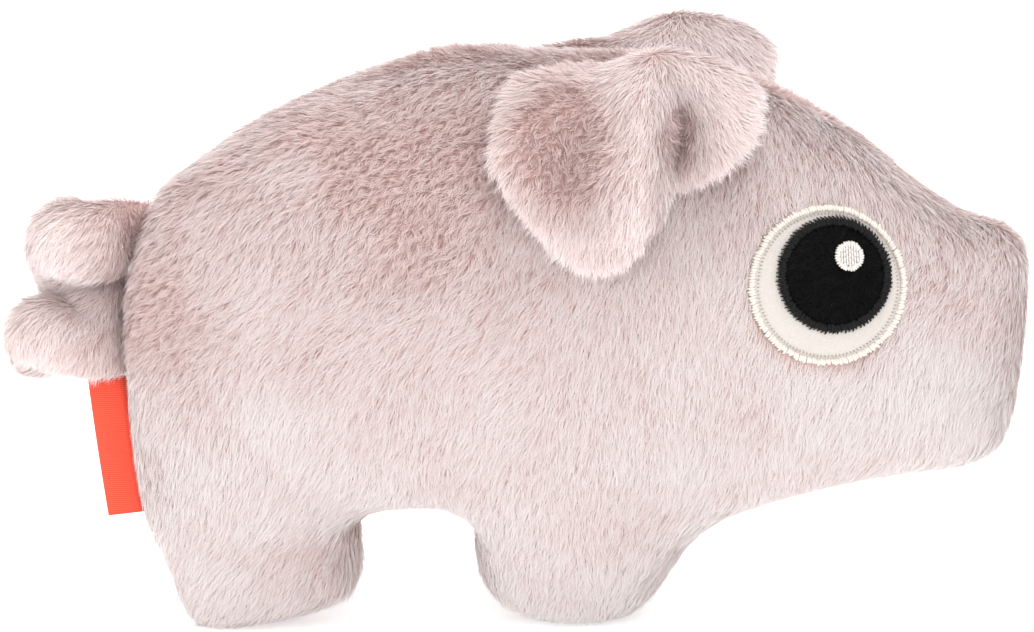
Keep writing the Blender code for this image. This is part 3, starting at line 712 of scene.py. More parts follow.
def hair_lines(roots, normals, nap, style, rng):
    """The points of every hair from root to tip, how pink it is and how calm it lies."""
    count, seed = len(roots), style["seed"]
    middle, own = locks(roots, style["lock"], seed)
    rubbed, calm = rubbed_and_shaded_share(roots, style)

    def answer(kind):
        plain, up, lying = ANSWERS[kind]
        return plain + up * rubbed + lying * calm

    lock_turn = (chance(own, seed + 5) - 0.5) * style["lock_turn"] * answer("turn")
    wander = drift(roots, style["wave"], seed + 9) * style["wave_turn"]
    wander += drift(roots, style["wave"] * 3.1, seed + 10) * style["wave_turn"] * 1.8
    single = rng.normal(0, style["hair_turn"], count)
    nap = unit(nap - normals * (nap * normals).sum(axis=1)[:, None])
    nap = turned(nap, normals, lock_turn + wander + single)
    side = np.cross(normals, nap)
    lift = style["lift"] * answer("lift") * rng.uniform(0.6, 1.3, count)
    length = style["length"] * (0.85 + 0.3 * chance(own, seed + 6))
    length = length * rng.uniform(0.8, 1.2, count) * answer("length")
    bow = rng.normal(0, style["bow"], count)
    offset = roots - middle
    drawn = side * (offset * side).sum(axis=1)[:, None]
    drawn += nap * ((offset * nap).sum(axis=1) * answer("draw along"))[:, None]
    gather = style["gather"] * answer("gather")
    lines = []
    for reach in BLADE_REACH_SHARES:
        rise = lift * (1 - (1 - reach) ** 2)
        run = reach * np.sqrt(np.maximum(1 - lift**2, LEAST_RUN))
        swing = bow * math.sin(math.pi * reach)
        way = nap * run[:, None] + normals * rise[:, None] + side * swing[:, None]
        inwards = drawn * (gather * reach**GATHER_POWER)[:, None]
        lines.append(roots + way * length[:, None] - inwards)
    speckle = 0.22 * chance(own, seed + 7) + 0.18 * rng.random(count)
    # The tint is partly painted shade: its rubbed share also carries shade painted in creases,
    # hollows and high on the back; the speckle is the fibre's own uneven tone.
    tint = 0.60 * rubbed + speckle * (1 - 0.5 * calm)
    return np.stack(lines, axis=1), tint, calm


print("being rubbed up or calm changes", ", ".join(ANSWERS))

# %% [markdown]
# ## Growing the pile: the blades
#
# A hair is so thin that a round tube would waste its faces. A flat blade of five points
# shows as much: four corners up to the bend, and a point at the end. Each is rolled a little
# about its own length, or a whole lock would vanish when seen from its edge. All blades of a
# piece are written into one mesh at once, with the two numbers that the finish reads.

# %% Build blades
BLADE_WIDTH_SHARES = (1.0, 0.85)
# The five points make one four-sided face and one triangle.
BLADE_CORNERS = np.array([0, 1, 3, 2, 2, 3, 4])
BLADE_STARTS = np.array([0, 4])
TRIANGLES_PER_HAIR = 3
BLADE_ROLL = 0.35
# Calm hairs lie flat over their roots, so their roots get less of the painted root shade.
CALM_PALENESS = 0.40


def blade_mesh(name, lines, normals, width, tint, calm, material, rng):
    """One mesh of thin blades along the lines: four sides up to the bend, then a point."""
    count = len(lines)
    ahead = unit(lines[:, -1] - lines[:, 0])
    side = unit(np.cross(ahead, normals))
    roll = rng.normal(0, BLADE_ROLL, count)
    side = side * np.cos(roll)[:, None] + np.cross(ahead, side) * np.sin(roll)[:, None]
    half = side * (width * rng.uniform(0.7, 1.3, count) / 2)[:, None]
    rows = []
    for k, share in enumerate(BLADE_WIDTH_SHARES):
        rows += [lines[:, k] - half * share, lines[:, k] + half * share]
    rows.append(lines[:, -1])
    points = np.stack(rows, axis=1)
    per = points.shape[1]
    number = np.arange(count)[:, None]
    mesh = bpy.data.meshes.new(name)
    mesh.vertices.add(count * per)
    mesh.vertices.foreach_set("co", points.astype(np.float32).ravel())
    mesh.loops.add(count * len(BLADE_CORNERS))
    order = (number * per + BLADE_CORNERS).ravel()
    mesh.loops.foreach_set("vertex_index", order.astype(np.int32))
    mesh.polygons.add(count * len(BLADE_STARTS))
    first = (number * len(BLADE_CORNERS) + BLADE_STARTS).ravel()
    mesh.polygons.foreach_set("loop_start", first.astype(np.int32))
    mesh.update(calc_edges=True)
    reach = np.array(np.repeat(BLADE_REACH_SHARES[:-1], 2).tolist() + [1.0])
    # Calm raises the reach, which pales the painted root shade.
    reach = (reach + (1 - reach) * CALM_PALENESS * calm[:, None]).ravel()
    for label, values in (("reach", reach), ("tint", np.repeat(tint, per))):
        attribute = mesh.attributes.new(label, "FLOAT", "POINT")
        attribute.data.foreach_set("value", values.astype(np.float32))
    mesh.materials.append(material)
    mesh.shade_smooth()
    return bpy.data.objects.new(name, mesh)


print("a blade has", len(BLADE_STARTS), "faces or", TRIANGLES_PER_HAIR, "triangles")

# %% [markdown]
# ## Growing the pile: the pieces
#
# One mesh with all the hairs would be slow to handle anywhere else. So a pile is parted
# along the toy's length into pieces of less than two hundred thousand triangles. Each rides
# on its body, or, where it grows on an ear, is only put in the scene with its transform
# baked. Roots may be left out, as under the eyes, and hairs may be reshaped, as on the floor.

# %% Grow a pile
TRIANGLES_PER_PIECE = 190000


def grow(name, skin, comb, style, material, body, slot, keep=None, shape=None, bend=None):
    """Cover a skin with pile, in as many pieces as its size needs."""
    rng = np.random.default_rng(style["seed"])
    roots, normals = scatter(skin, style["density"], rng)
    if keep is not None:
        kept = keep(roots)
        roots, normals = roots[kept], normals[kept]
    lines, tint, calm = hair_lines(roots, normals, comb(roots, normals), style, rng)
    if shape is not None:
        lines = shape(lines)
    parts = math.ceil(len(lines) * TRIANGLES_PER_HAIR / TRIANGLES_PER_PIECE)
    order = np.argsort(roots[:, 0], kind="stable")
    for number, chosen in enumerate(np.array_split(order, parts)):
        label = name if parts == 1 else f"{name}_{number + 1}"
        piece = blade_mesh(
            label, lines[chosen], normals[chosen], style["width"], tint[chosen], calm[chosen],
            material, rng)
        if bend is None:
            dress(piece, body, slot)
        else:
            bend(piece)
    print(name, len(lines), "hairs in", parts, "pieces")


print("a piece of pile holds up to", TRIANGLES_PER_PIECE // TRIANGLES_PER_HAIR, "hairs")

# %% [markdown]
# ## The pouch's nap
#
# On the head and belly the pile falls straight down, and over the back and rump it is combed
# down and to the rear. The hairs end on the floor under the feet, where they are pressed
# flat, and round the eyes they are parted by the stitching instead of lying over it. The nap
# could be painted on by hand; here a rule gives it for every root, so that both sides match.
# A few places are rubbed up more than the rest, and the cheek and the snout's side are calm.
# The rubbed pink is also painted shade: more of it higher up the back and in the crease
# before the hind leg, and less low down, where the pile lies calmer and paler.

# %% Comb the pouch
# Each place is an X, a Z, how wide it is and how much it is rubbed up; below 0 it is calm.
# The first row, high on the back, and the fourth, in the crease before the hind leg, are also
# painted shade: they paint the pile pinker and darker there.
RUBBED_AND_SHADED_PLACES = [
    (-0.011, 0.079, 0.017, 0.60),
    (-0.054, 0.056, 0.011, 1.05),
    (0.077, 0.057, 0.007, 0.35),
    (-0.035, 0.014, 0.006, 0.45),
    (0.040, 0.050, 0.010, 0.25),
    (0.053, 0.050, 0.020, -0.45),
    (0.072, 0.042, 0.010, -0.40),
]


def pouch_rubbed_and_shaded(roots):
    """Where hands rub the pile up, on the back, the rump, the brow and the top of the snout, and
    painted shade: pinker and darker higher up and in the hind leg's crease.
    """
    # Painted shade: higher up the back the pile is rubbed up and painted pinker and darker; low
    # down it lies calmer and paler.
    total = np.clip((roots[:, 2] - 0.055) / 0.060, -0.35, 0.45)
    total *= np.where(total > 0, np.clip((0.075 - roots[:, 0]) / 0.045, 0.3, 1), 1)
    for x, z, size, depth in RUBBED_AND_SHADED_PLACES:
        away = np.hypot(roots[:, 0] - x, roots[:, 2] - z) / size
        total += depth * np.exp(-(away**2))
    return total


def pouch_comb(roots, normals):
    """Down on the head and belly, down and to the rear on the back and rump."""
    rear = np.clip((0.035 - roots[:, 0]) / 0.08, 0, 1)
    high = np.clip((roots[:, 2] - 0.030) / 0.045, 0, 1)
    nap = np.zeros_like(roots)
    nap[:, 0] = -0.15 - 0.95 * rear * (0.35 + 0.65 * high)
    nap[:, 1] = np.sign(roots[:, 1]) * 0.25
    nap[:, 2] = -1
    return nap


print("rubbed on the back", pouch_rubbed_and_shaded(np.array([[-0.011, 0, 0.079]])).round(2))

# %% [markdown]
# ## The pouch's pile
#
# Now the pile itself: about fourteen hairs on each square millimetre, three millimetres
# long. Real plush has more and finer ones, but this many cover the cloth. The roots keep
# clear of the eyes, and hairs that would lie over a ring of stitches or sink into the floor
# are pushed aside after they are laid, which is simpler than combing them round it.

# %% Pile on the pouch
# Hairs per square millimetre, then sizes in metres, turns in radians and shares.
POUCH_STYLE = {
    "density": 14.0, "length": 0.0032, "width": 0.00010, "lift": 0.27, "lock": 0.0010,
    "lock_turn": 0.60, "wave": 0.0045, "wave_turn": 0.24, "hair_turn": 0.16, "bow": 0.10,
    "patch": 0.010, "patch_depth": 0.42, "rubbed": pouch_rubbed_and_shaded, "gather": 0.80, "seed": 3,
}
LEFT_SEED_STEP = 40
BEHIND_EYE = 0.01
EYE_CLEAR = 0.0003
HAIR_OVER_RING = 0.0007
FLOOR_CLEAR = 0.0002


def seen_from_eye(eye, points):
    """Places in the eye's own plane, how far out they lie and whether they are on its side."""
    axes = np.stack([eye["forward"], eye["up"]], axis=1)
    flat = (points - eye["middle"]) @ axes
    near = (points - eye["middle"]) @ eye["out"] > -BEHIND_EYE
    return axes, flat, np.linalg.norm(flat, axis=-1), near


def clear_of_eyes(roots):
    """Which roots lie outside both sewn eyes."""
    kept = np.ones(len(roots), bool)
    for eye in eyes.values():
        _, _, away, near = seen_from_eye(eye, roots)
        kept &= ~(near & (away < eye["eye_border"]["radius"] - EYE_CLEAR))
    return kept


def tidy_hairs(lines):
    """Keep hairs above the floor and part them round the eyes."""
    for eye in eyes.values():
        axes, flat, away, near = seen_from_eye(eye, lines)
        ring = eye["eye_border"]["radius"] - HAIR_OVER_RING
        short = np.where(near, np.maximum(ring - away, 0), 0)
        lines = lines + ((flat / away[..., None]) * short[..., None]) @ axes.T
    low = lines[..., 2] < FLOOR_CLEAR
    lines[..., 2] = np.where(low, FLOOR_CLEAR, lines[..., 2])
    return lines


for hand in ("right", "left"):
    style = dict(POUCH_STYLE, seed=POUCH_STYLE["seed"] + (hand == "left") * LEFT_SEED_STEP)
    grow(hand + "_side_pile", skins[hand + "_side"], pouch_comb, style, plush_pile,
         "body", "plush", clear_of_eyes, tidy_hairs)

# %% [markdown]
# ## Ears
#
# Each ear is two layers of the same plush, sewn face to face and turned, then folded over
# and pinched. The solids already have the fold. The soft roll beside the pleat and the cup
# behind it are raised and pressed in with the helper that made the creases. The pile
# radiates from the pinch at the top of the fold, where the cloth is gathered into the head,
# and turns out over the rim, where both layers end.

# %% Comb an ear
EAR_PINCH_SHARE = 0.60
# Hollows where the pile is rubbed up and painted pinker and darker as shade: an X, a Z, how wide
# and how tall.
EAR_HOLLOWS = [(0.0138, 0.0848, 0.0070, 0.0078), (0.0306, 0.0862, 0.0019, 0.0037)]
# A roll, which is a groove of negative depth, and a cup, like the creases of the pouch.
EAR_ROLLS = [
    ((0.0266, 0.0915), (0.0264, 0.0740), 0.0024, -0.0018),
    ((0.0312, 0.0885), (0.0306, 0.0825), 0.0017, 0.0010),
]
EAR_CALM = -0.7
RIM_REACH = 0.0045
EAR_LOW_REACH = 0.02


def ear_rubbed_and_shaded(roots):
    """The pile of an ear is rubbed up in the hollow of its rear flap and in the pleat, and
    painted pinker and darker there as shade.
    """
    total = np.full(len(roots), EAR_CALM)
    for x, z, wide, tall in EAR_HOLLOWS:
        away = np.hypot((roots[:, 0] - x) / wide, (roots[:, 2] - z) / tall)
        total = np.maximum(total, np.clip(2.4 - 1.6 * away, EAR_CALM, 1.1))
    return total


EAR_STYLE = dict(
    POUCH_STYLE, density=15.0, length=0.0029, lift=0.34, lock_turn=0.7, wave=0.0035,
    lock=0.0010, gather=0.8, patch_depth=0.30, rubbed=ear_rubbed_and_shaded, seed=101,
)


def open_edge(skin):
    """A search tree over the points on the open edge of a skin."""
    pairs = [skin["triangles"][:, pair] for pair in ([0, 1], [1, 2], [2, 0])]
    edges = np.sort(np.concatenate(pairs), axis=1)
    lone, uses = np.unique(edges, axis=0, return_counts=True)
    rim = np.unique(lone[uses == 1])
    tree = KDTree(len(rim))
    for place, number in enumerate(rim):
        tree.insert(skin["points"][number], place)
    tree.balance()
    return tree


def ear_comb_for(hand, skin):
    """The nap of one ear: away from its pinch at the top of the fold, and out over its rim."""
    low, high = (np.array(corner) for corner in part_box(hand + "_ear_outer"))
    x = low[0] + EAR_PINCH_SHARE * (high[0] - low[0])
    pinch = np.array([x, (low[1] + high[1]) / 2, high[2]])
    rim = open_edge(skin)

    def comb(roots, normals):
        nearest = [rim.find(root) for root in roots]
        over = np.array([found[0] for found in nearest]) - roots
        near = np.clip(1 - np.array([found[2] for found in nearest]) / RIM_REACH, 0, 1)
        nap = unit(roots - pinch)
        nap[:, 2] -= 0.35
        low = np.clip((pinch[2] - roots[:, 2]) / EAR_LOW_REACH, 0, 1)
        nap[:, 2] -= 0.5 * low
        return nap + unit(over) * (near * (1.6 - 0.9 * low))[:, None]

    return comb


print("ears have", len(EAR_HOLLOWS), "hollows and", len(EAR_ROLLS), "folds")

# %% [markdown]
# ## Dressing the ears
#
# An ear could turn as one stiff leaf, but it is sewn on along its base. Its pieces here are
# not blended or attached to a body: each is put in the scene with its transform baked into
# its points. Each layer is a sheet that was cut from flat cloth, so its area, which folding
# doesn't change, says how big the cut was.

# %% Ears
EAR_LAYER_SEED_STEP = 20


def ear_bend_for():
    """Makes a function that puts a piece of one ear in the scene, with its transform baked into
    its points.
    """

    def bend(piece):
        bpy.context.scene.collection.objects.link(piece)
        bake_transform(piece)

    return bend


for hand in ("right", "left"):
    layers = (("_ear_outer", "_ear_lining"), ("_ear_lining", "_ear_outer"))
    for number, (layer, other) in enumerate(layers):
        skin = skin_arrays(outer_sheet(hand + layer, hand + other))
        if layer == "_ear_outer":
            press_creases(skin, EAR_ROLLS)
        piece = thickened(skin_piece(hand + layer + "_skin", skin, plush_ground))
        ear_bend_for()(piece)
        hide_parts(hand + layer)
        seed = EAR_STYLE["seed"] + number * EAR_LAYER_SEED_STEP
        style = dict(EAR_STYLE, seed=seed + (hand == "left") * LEFT_SEED_STEP)
        grow(hand + layer + "_pile", skin, ear_comb_for(hand, skin), style, ear_pile_painted_light,
             hand + "_ear", "ear_plush", bend=ear_bend_for())

# %% [markdown]
# ## Tail
#
# The tail is a narrow stuffed tube, curled round on itself. Its pile could run from the root
# to the tip, as it was woven, but on a handled toy it is brushed down over each turn of the
# curl. The lower lobe is filled out a little, so that its pile meets the rump as on the real
# toy. Hairs beside the rump are worn short, which also lets the tail wag.

# %% Tail
# Painted light: the calm outer side is painted paler, to lift the lower lobe's shade.
TAIL_RUB_AND_LIGHT_FROM = -0.0670
TAIL_RUB_AND_LIGHT_OVER = 0.012


def tail_rubbed_and_lit(roots):
    """The pile stands up and turns pinker towards the rump, and lies calm on the outer side; that
    paler calm side is painted light on the shaded lower lobe.
    """
    return np.clip((roots[:, 0] - TAIL_RUB_AND_LIGHT_FROM) / TAIL_RUB_AND_LIGHT_OVER, -0.6, 0.6)


TAIL_STYLE = dict(
    POUCH_STYLE, density=15.0, length=0.0034, lift=0.34, wave=0.004, lock=0.0013, gather=0.8,
    rubbed=tail_rubbed_and_lit, seed=211,
)


def tail_comb(roots, normals):
    """Down and to the rear, a little outwards."""
    nap = np.zeros_like(roots)
    nap[:, 0] = -0.55
    nap[:, 1] = np.sign(roots[:, 1]) * 0.3
    nap[:, 2] = -0.8
    return nap


# Each swell: an X, a Z, how wide it is, and how far it moves the skin along X and Z.
TAIL_SWELLS = [
    (-0.0670, 0.0470, 0.0050, (0.0015, -0.0024)),
    (-0.0665, 0.0590, 0.0040, (0.0016, -0.0006)),
    (-0.0652, 0.0462, 0.0036, (0.0014, -0.0008)),
]
TAIL_ROOT = (-0.0685, -0.0630)
WORN_SHARE = 0.6


def short_at_root(lines):
    """Shorten the hairs beside the rump."""
    near = np.clip((lines[:, 0, 0] - TAIL_ROOT[0]) / (TAIL_ROOT[1] - TAIL_ROOT[0]), 0, 1)
    return lines[:, :1] + (lines - lines[:, :1]) * (1 - WORN_SHARE * near)[:, None, None]


tail_skin = skin_arrays(outer_sheet("tail_sleeve", "tail_filling"))
fill_out(tail_skin, TAIL_SWELLS)
piece = dress(skin_piece("tail_skin", tail_skin, plush_ground), "tail", "plush", "tail_sleeve")
grow("tail_pile_painted_light", tail_skin, tail_comb, TAIL_STYLE, tail_pile_painted_light, "tail", "plush",
     shape=short_at_root)

# %% [markdown]
# ## Filling
#
# Nothing of the filling shows, but it is there when the toy is taken apart: wads of loose
# white fibre, each a portion of the pouch. It could be built as hair like the pile, but for
# something so seldom seen a copy of each solid, rounded a little, with a tangled bump, is
# enough.

# %% Filling
TANGLE = (900, 6, 0.7)
TANGLE_DEPTH = 0.0006
FILLINGS = {
    "torso_filling": "body", "head_filling": "body", "front_foot_filling": "body",
    "hind_foot_filling": "body", "tail_filling": "tail",
}
loose_fibre = speckled_finish(
    "loose_fibre", (0.72, 0.71, 0.68, 1), (0.92, 0.91, 0.89, 1), TANGLE, TANGLE_DEPTH,
    roughness=0.9, gloss=0.5)
for node, body in FILLINGS.items():
    bm = solid_mesh(node)
    mesh = bpy.data.meshes.new(node + "_fibre")
    bm.to_mesh(mesh)
    bm.free()
    mesh.materials.append(loose_fibre)
    mesh.shade_smooth()
    piece = bpy.data.objects.new(node + "_fibre", mesh)
    dress(piece, body, "fibre", node)
    rounding = piece.modifiers.new("rounding", "SUBSURF")
    rounding.levels = rounding.render_levels = 1
print(len(FILLINGS), "portions of fibre")

# %% [markdown]
# ## Threads
#
# Satin stitch is a row of threads laid side by side over an edge. Each thread comes up
# through one needle hole, arches over and goes down through another, so it is a short round
# tube whose ends dip into the cloth. A bump on a plain ring could look like that from afar,
# but close up only real threads do. All threads of a border are swept at once.

# %% Sweep threads
THREAD_SIDES = 6
# How thick a thread is at each step along it: its ends thin out in the needle holes.
THREAD_SWELL = (0.6, 0.9, 1, 1, 1, 0.85, 0.4)
THREAD_STEPS = len(THREAD_SWELL)


def thread_piece(name, paths, radii, outward, material):
    """Round threads along paths of shape (threads, steps, 3), with closed ends."""
    count, steps = paths.shape[:2]
    ahead = unit(np.gradient(paths, axis=1))
    side = unit(np.cross(ahead, outward))
    rise = np.cross(side, ahead)
    turn = 2 * np.pi * np.arange(THREAD_SIDES) / THREAD_SIDES
    around = side[:, :, None] * np.cos(turn)[:, None] + rise[:, :, None] * np.sin(turn)[:, None]
    points = paths[:, :, None] + around * radii[..., None, None]
    number = np.arange(count * steps * THREAD_SIDES).reshape(count, steps, THREAD_SIDES)
    after = np.roll(number, -1, axis=2)
    quads = np.stack([number[:, :-1], after[:, :-1], after[:, 1:], number[:, 1:]], axis=-1)
    faces = quads.reshape(-1, 4).tolist() + number[:, 0, ::-1].tolist() + number[:, -1].tolist()
    return piece_from(name, points.reshape(-1, 3), faces, material)


print("a thread has", THREAD_STEPS, "rings of", THREAD_SIDES, "points")

# %% [markdown]
# ## The finish of the threads
#
# Embroidery thread is twisted and shines softly. The twist could be modelled strand by
# strand, but it is finer than a tenth of a millimetre, so a noise and a small bump are
# enough. The black disc's nap is dull fibre; some of its strands are painted grey at random,
# as painted glints.

# %% Thread finishes
PLY = (5200, 2, 0.5)
PLY_DEPTH = 0.00008
STRAND_DARK = (0.001, 0.001, 0.001, 1)
STRAND_PAINTED_GLINT = (0.018, 0.018, 0.020, 1)


def thread_finish(name, dark, colour, gloss):
    """Shiny twisted thread: fine uneven ply as bump and shade."""
    return speckled_finish(name, dark, colour, PLY, PLY_DEPTH, roughness=0.5, gloss=gloss)


def strand_finish():
    """Black fibre, some strands painted grey as glints, with a faint gloss."""
    material, tree, shader = node_material("black_strand")
    tint = mix_colours(tree, carried(tree, "tint"), STRAND_DARK, STRAND_PAINTED_GLINT)
    tree.links.new(tint, shader.inputs["Base Color"])
    shader.inputs["Roughness"].default_value = 0.6
    shader.inputs["Specular IOR Level"].default_value = 0.06
    return material


black_strand = strand_finish()
cream_thread = thread_finish(
    "cream_thread", (0.71, 0.64, 0.575, 1), (0.80, 0.735, 0.67, 1), gloss=0.4)
charcoal_thread = thread_finish(
    "charcoal_thread", (0.003, 0.003, 0.003, 1), (0.007, 0.007, 0.008, 1), gloss=0.2)
white_thread = thread_finish(
    "white_thread", (0.62, 0.59, 0.555, 1), (0.74, 0.71, 0.675, 1), gloss=0.4)
print("three threads and a black strand")

# %% [markdown]
# ## The sewn discs
#
# The white and the black of the eye are cut from a fabric with a very short nap. Each disc
# follows the curve of the cheek. A shrinkwrap modifier could lay it there, but dropping its
# points onto the skin along the way the eye looks gives the same with one short helper,
# which places the threads as well. The needle holes beside the border are real dimples.

# %% Discs on the cheek
DISC_SECTORS = 480
DISC_STEP = 0.0006
DISC_EDGE_DROP = 0.35
HOLE_EVERY = 4
HOLE_DEPTH = 0.0008
HOLE_REACH = 0.00018
CHEEK_STANDOFF = 0.02
FELT_NAP = (2600, 4, 0.65)
FELT_DEPTH = 0.0001


def felt_finish(name, dark, colour):
    """Short napped fabric: fine speckle as bump and shade."""
    return speckled_finish(name, dark, colour, FELT_NAP, FELT_DEPTH, roughness=0.95, gloss=0.06)


white_felt = felt_finish("white_felt", (0.55, 0.51, 0.475, 1), (0.62, 0.575, 0.54, 1))
black_felt = felt_finish("black_felt", (0.001, 0.001, 0.001, 1), (0.004, 0.004, 0.004, 1))


def on_cheek(eye, tree, flat, lift):
    """Places in the eye's own plane, dropped onto the cheek and raised off it."""
    start = eye["middle"] + flat @ np.stack([eye["forward"], eye["up"]])
    start = start + eye["out"] * CHEEK_STANDOFF
    ahead = Vector(-eye["out"])
    hits = np.array([tree.ray_cast(Vector(point), ahead)[0] for point in start.reshape(-1, 3)])
    return hits.reshape(start.shape) + eye["out"] * np.asarray(lift)[..., None]


def disc_piece(name, eye, tree, centre, radius, lift, height, holes, material):
    """A closed disc on the cheek, crowned a little; holes is the radius of its needle holes."""
    rings = np.linspace(0, 1, math.ceil(radius / DISC_STEP) + 1)[1:] * radius
    if holes:
        rings = rings[np.abs(rings - holes) > 2 * HOLE_REACH]
        rings = np.sort(np.append(rings, [holes - HOLE_REACH, holes, holes + HOLE_REACH]))
    turn = 2 * np.pi * np.arange(DISC_SECTORS) / DISC_SECTORS
    away, angle = np.meshgrid(rings, turn, indexing="ij")
    flat = centre + np.stack([away * np.cos(angle), away * np.sin(angle)], axis=-1)
    rise = height * (1 - DISC_EDGE_DROP * (away / radius) ** 4)
    if holes:
        rise[np.argmin(np.abs(rings - holes)), ::HOLE_EVERY] -= HOLE_DEPTH
    top = on_cheek(eye, tree, flat, lift + rise)
    base = on_cheek(eye, tree, flat[-1:], lift + rise[-1:] * 0)
    hub = on_cheek(eye, tree, np.array([centre]), np.array([lift + height]))
    under = on_cheek(eye, tree, np.array([centre]), np.array([lift]))
    points = np.concatenate([top.reshape(-1, 3), base.reshape(-1, 3), hub, under])
    grid = np.arange((len(rings) + 1) * DISC_SECTORS).reshape(-1, DISC_SECTORS)
    after = np.roll(grid, -1, axis=1)
    quads = np.stack([grid[:-1], grid[1:], after[1:], after[:-1]], axis=-1)
    crown = [[len(points) - 2, a, b] for a, b in zip(grid[0], after[0])]
    floor = [[len(points) - 1, b, a] for a, b in zip(grid[-1], after[-1])]
    faces = quads.reshape(-1, 4).tolist() + [[int(i) for i in face] for face in crown + floor]
    if eye["hand"] == "left":
        faces = [face[::-1] for face in faces]
    return piece_from(name, points, faces, material)


print("a disc has", DISC_SECTORS, "sectors and", DISC_SECTORS // HOLE_EVERY, "needle holes")

# %% [markdown]
# ## Two ways to stitch
#
# A border's threads run across it, side by side, a little uneven in length, as a machine's
# satin stitch is on thick plush. The highlight is too wide for one thread to span, so a
# machine fills it with short threads in rows, set like bricks. Both could be laid with an
# array modifier, but then no thread would differ from the next.

# %% Stitches
STITCH_PITCH = 0.00060
BORDER_PITCH = STITCH_PITCH * 0.75
PUPIL_PITCH = STITCH_PITCH * 0.5
GLINT_PITCH = STITCH_PITCH * 0.72
# A thread's radius as a share of the pitch: close together in a border, looser in bricks.
BORDER_THREAD = 0.62
BRICK_THREAD = 0.48
BRICK_LENGTH = 1.9


def arched(share):
    """The height of a thread along its way: up at once, level, and down again."""
    return np.sqrt(np.maximum(1 - (2 * share - 1) ** 4, 0))


def stitched_ring(
        name, eye, tree, centre, inner, outer, pitch, lift, height, ragged, material, seed):
    """Satin stitch round a circle: threads that arch from its inner to its outer edge."""
    rng = np.random.default_rng(seed)
    count = round(2 * np.pi * (inner + outer) / 2 / pitch)
    share = np.linspace(0, 1, THREAD_STEPS)
    angle = 2 * np.pi * (np.arange(count) + rng.normal(0, 0.08, count)) / count
    lean = pitch / outer * rng.normal(0.5, 0.15, count)
    start = inner + rng.normal(0, ragged[0], count)
    end = outer + rng.normal(0, ragged[1], count) + ragged[2] * (np.arange(count) % 2 * 2 - 1)
    away = start[:, None] + (end - start)[:, None] * share
    turn = angle[:, None] + lean[:, None] * (share - 0.5)
    flat = centre + np.stack([away * np.cos(turn), away * np.sin(turn)], axis=-1)
    tall = height * rng.uniform(0.9, 1.1, count)
    radius = pitch * BORDER_THREAD
    paths = on_cheek(eye, tree, flat, lift - radius + tall[:, None] * arched(share))
    radii = np.broadcast_to(radius * np.array(THREAD_SWELL), (count, THREAD_STEPS))
    return thread_piece(name, paths, radii, eye["out"], material)


def brick_fill(eye, tree, centre, radius, pitch, lift, height):
    """Short upright threads in rows over a small disc, each row set half a thread on."""
    run = BRICK_LENGTH * pitch
    paths = []
    share = np.linspace(0, 1, THREAD_STEPS)
    columns = int(radius / pitch)
    for column in range(-columns, columns + 1):
        x = column * pitch
        half = math.sqrt(max(radius**2 - x**2, 0))
        first = -half - (column % 2) / 2 * run
        for start in np.arange(first, half, run):
            low, high = max(start, -half), min(start + run, half)
            if high - low > pitch:
                y = low + (high - low) * share
                flat = centre + np.stack([np.full_like(y, x), y], axis=-1)
                paths.append(on_cheek(eye, tree, flat, lift + height * arched(share)))
    return np.array(paths)


print("stitches are", round(BORDER_PITCH * 1000, 2), "mm apart in the cream border")

# %% [markdown]
# ## Sewing the eyes
#
# From the cheek outwards: the white disc and its cream border, the black disc and its
# charcoal border, and the small white highlight inside a narrow border of its own. Each
# layer is lifted by the height of those below it. The black disc gets a nap of very short
# hairs, grown with the same helper as the pile, because a bump would stay flat at its edge.

# %% Eyes
PUPIL_STYLE = dict(
    POUCH_STYLE, density=9.0, length=0.0013, width=0.00009, lift=0.16, wave=0.003,
    wave_turn=0.9, hair_turn=0.6, rubbed=lambda roots: np.full(len(roots), 0.1),
)
ON_CHEEK = 0.0003
WHITE_HEIGHT = 0.0009
PUPIL_HEIGHT = 0.0007
# How high the threads arch over what they are sewn on.
BORDER_ARCH = 0.0013
PUPIL_ARCH = 0.0011
GLINT_ARCH = 0.0005
GLINT_EDGE_ARCH = 0.0007
# How uneven a border's inner and outer ends are, and how far every second thread stands out.
BORDER_RAGGED = (0.00004, 0.00012, 0)
PUPIL_RAGGED = (0.00008, 0.00008, 0.00014)
GLINT_RAGGED = (0.00004, 0.00006, 0)
DISC_UNDER_BORDER = 0.0006
HOLES_FROM_EDGE = 0.00045
GLINT_SHARE = 0.94
EYE_SLOTS = {
    "eye_white": "white_felt", "eye_border": "cream_thread", "pupil": "black_felt",
    "pupil_border": "charcoal_thread", "eye_highlight": "white_thread",
}


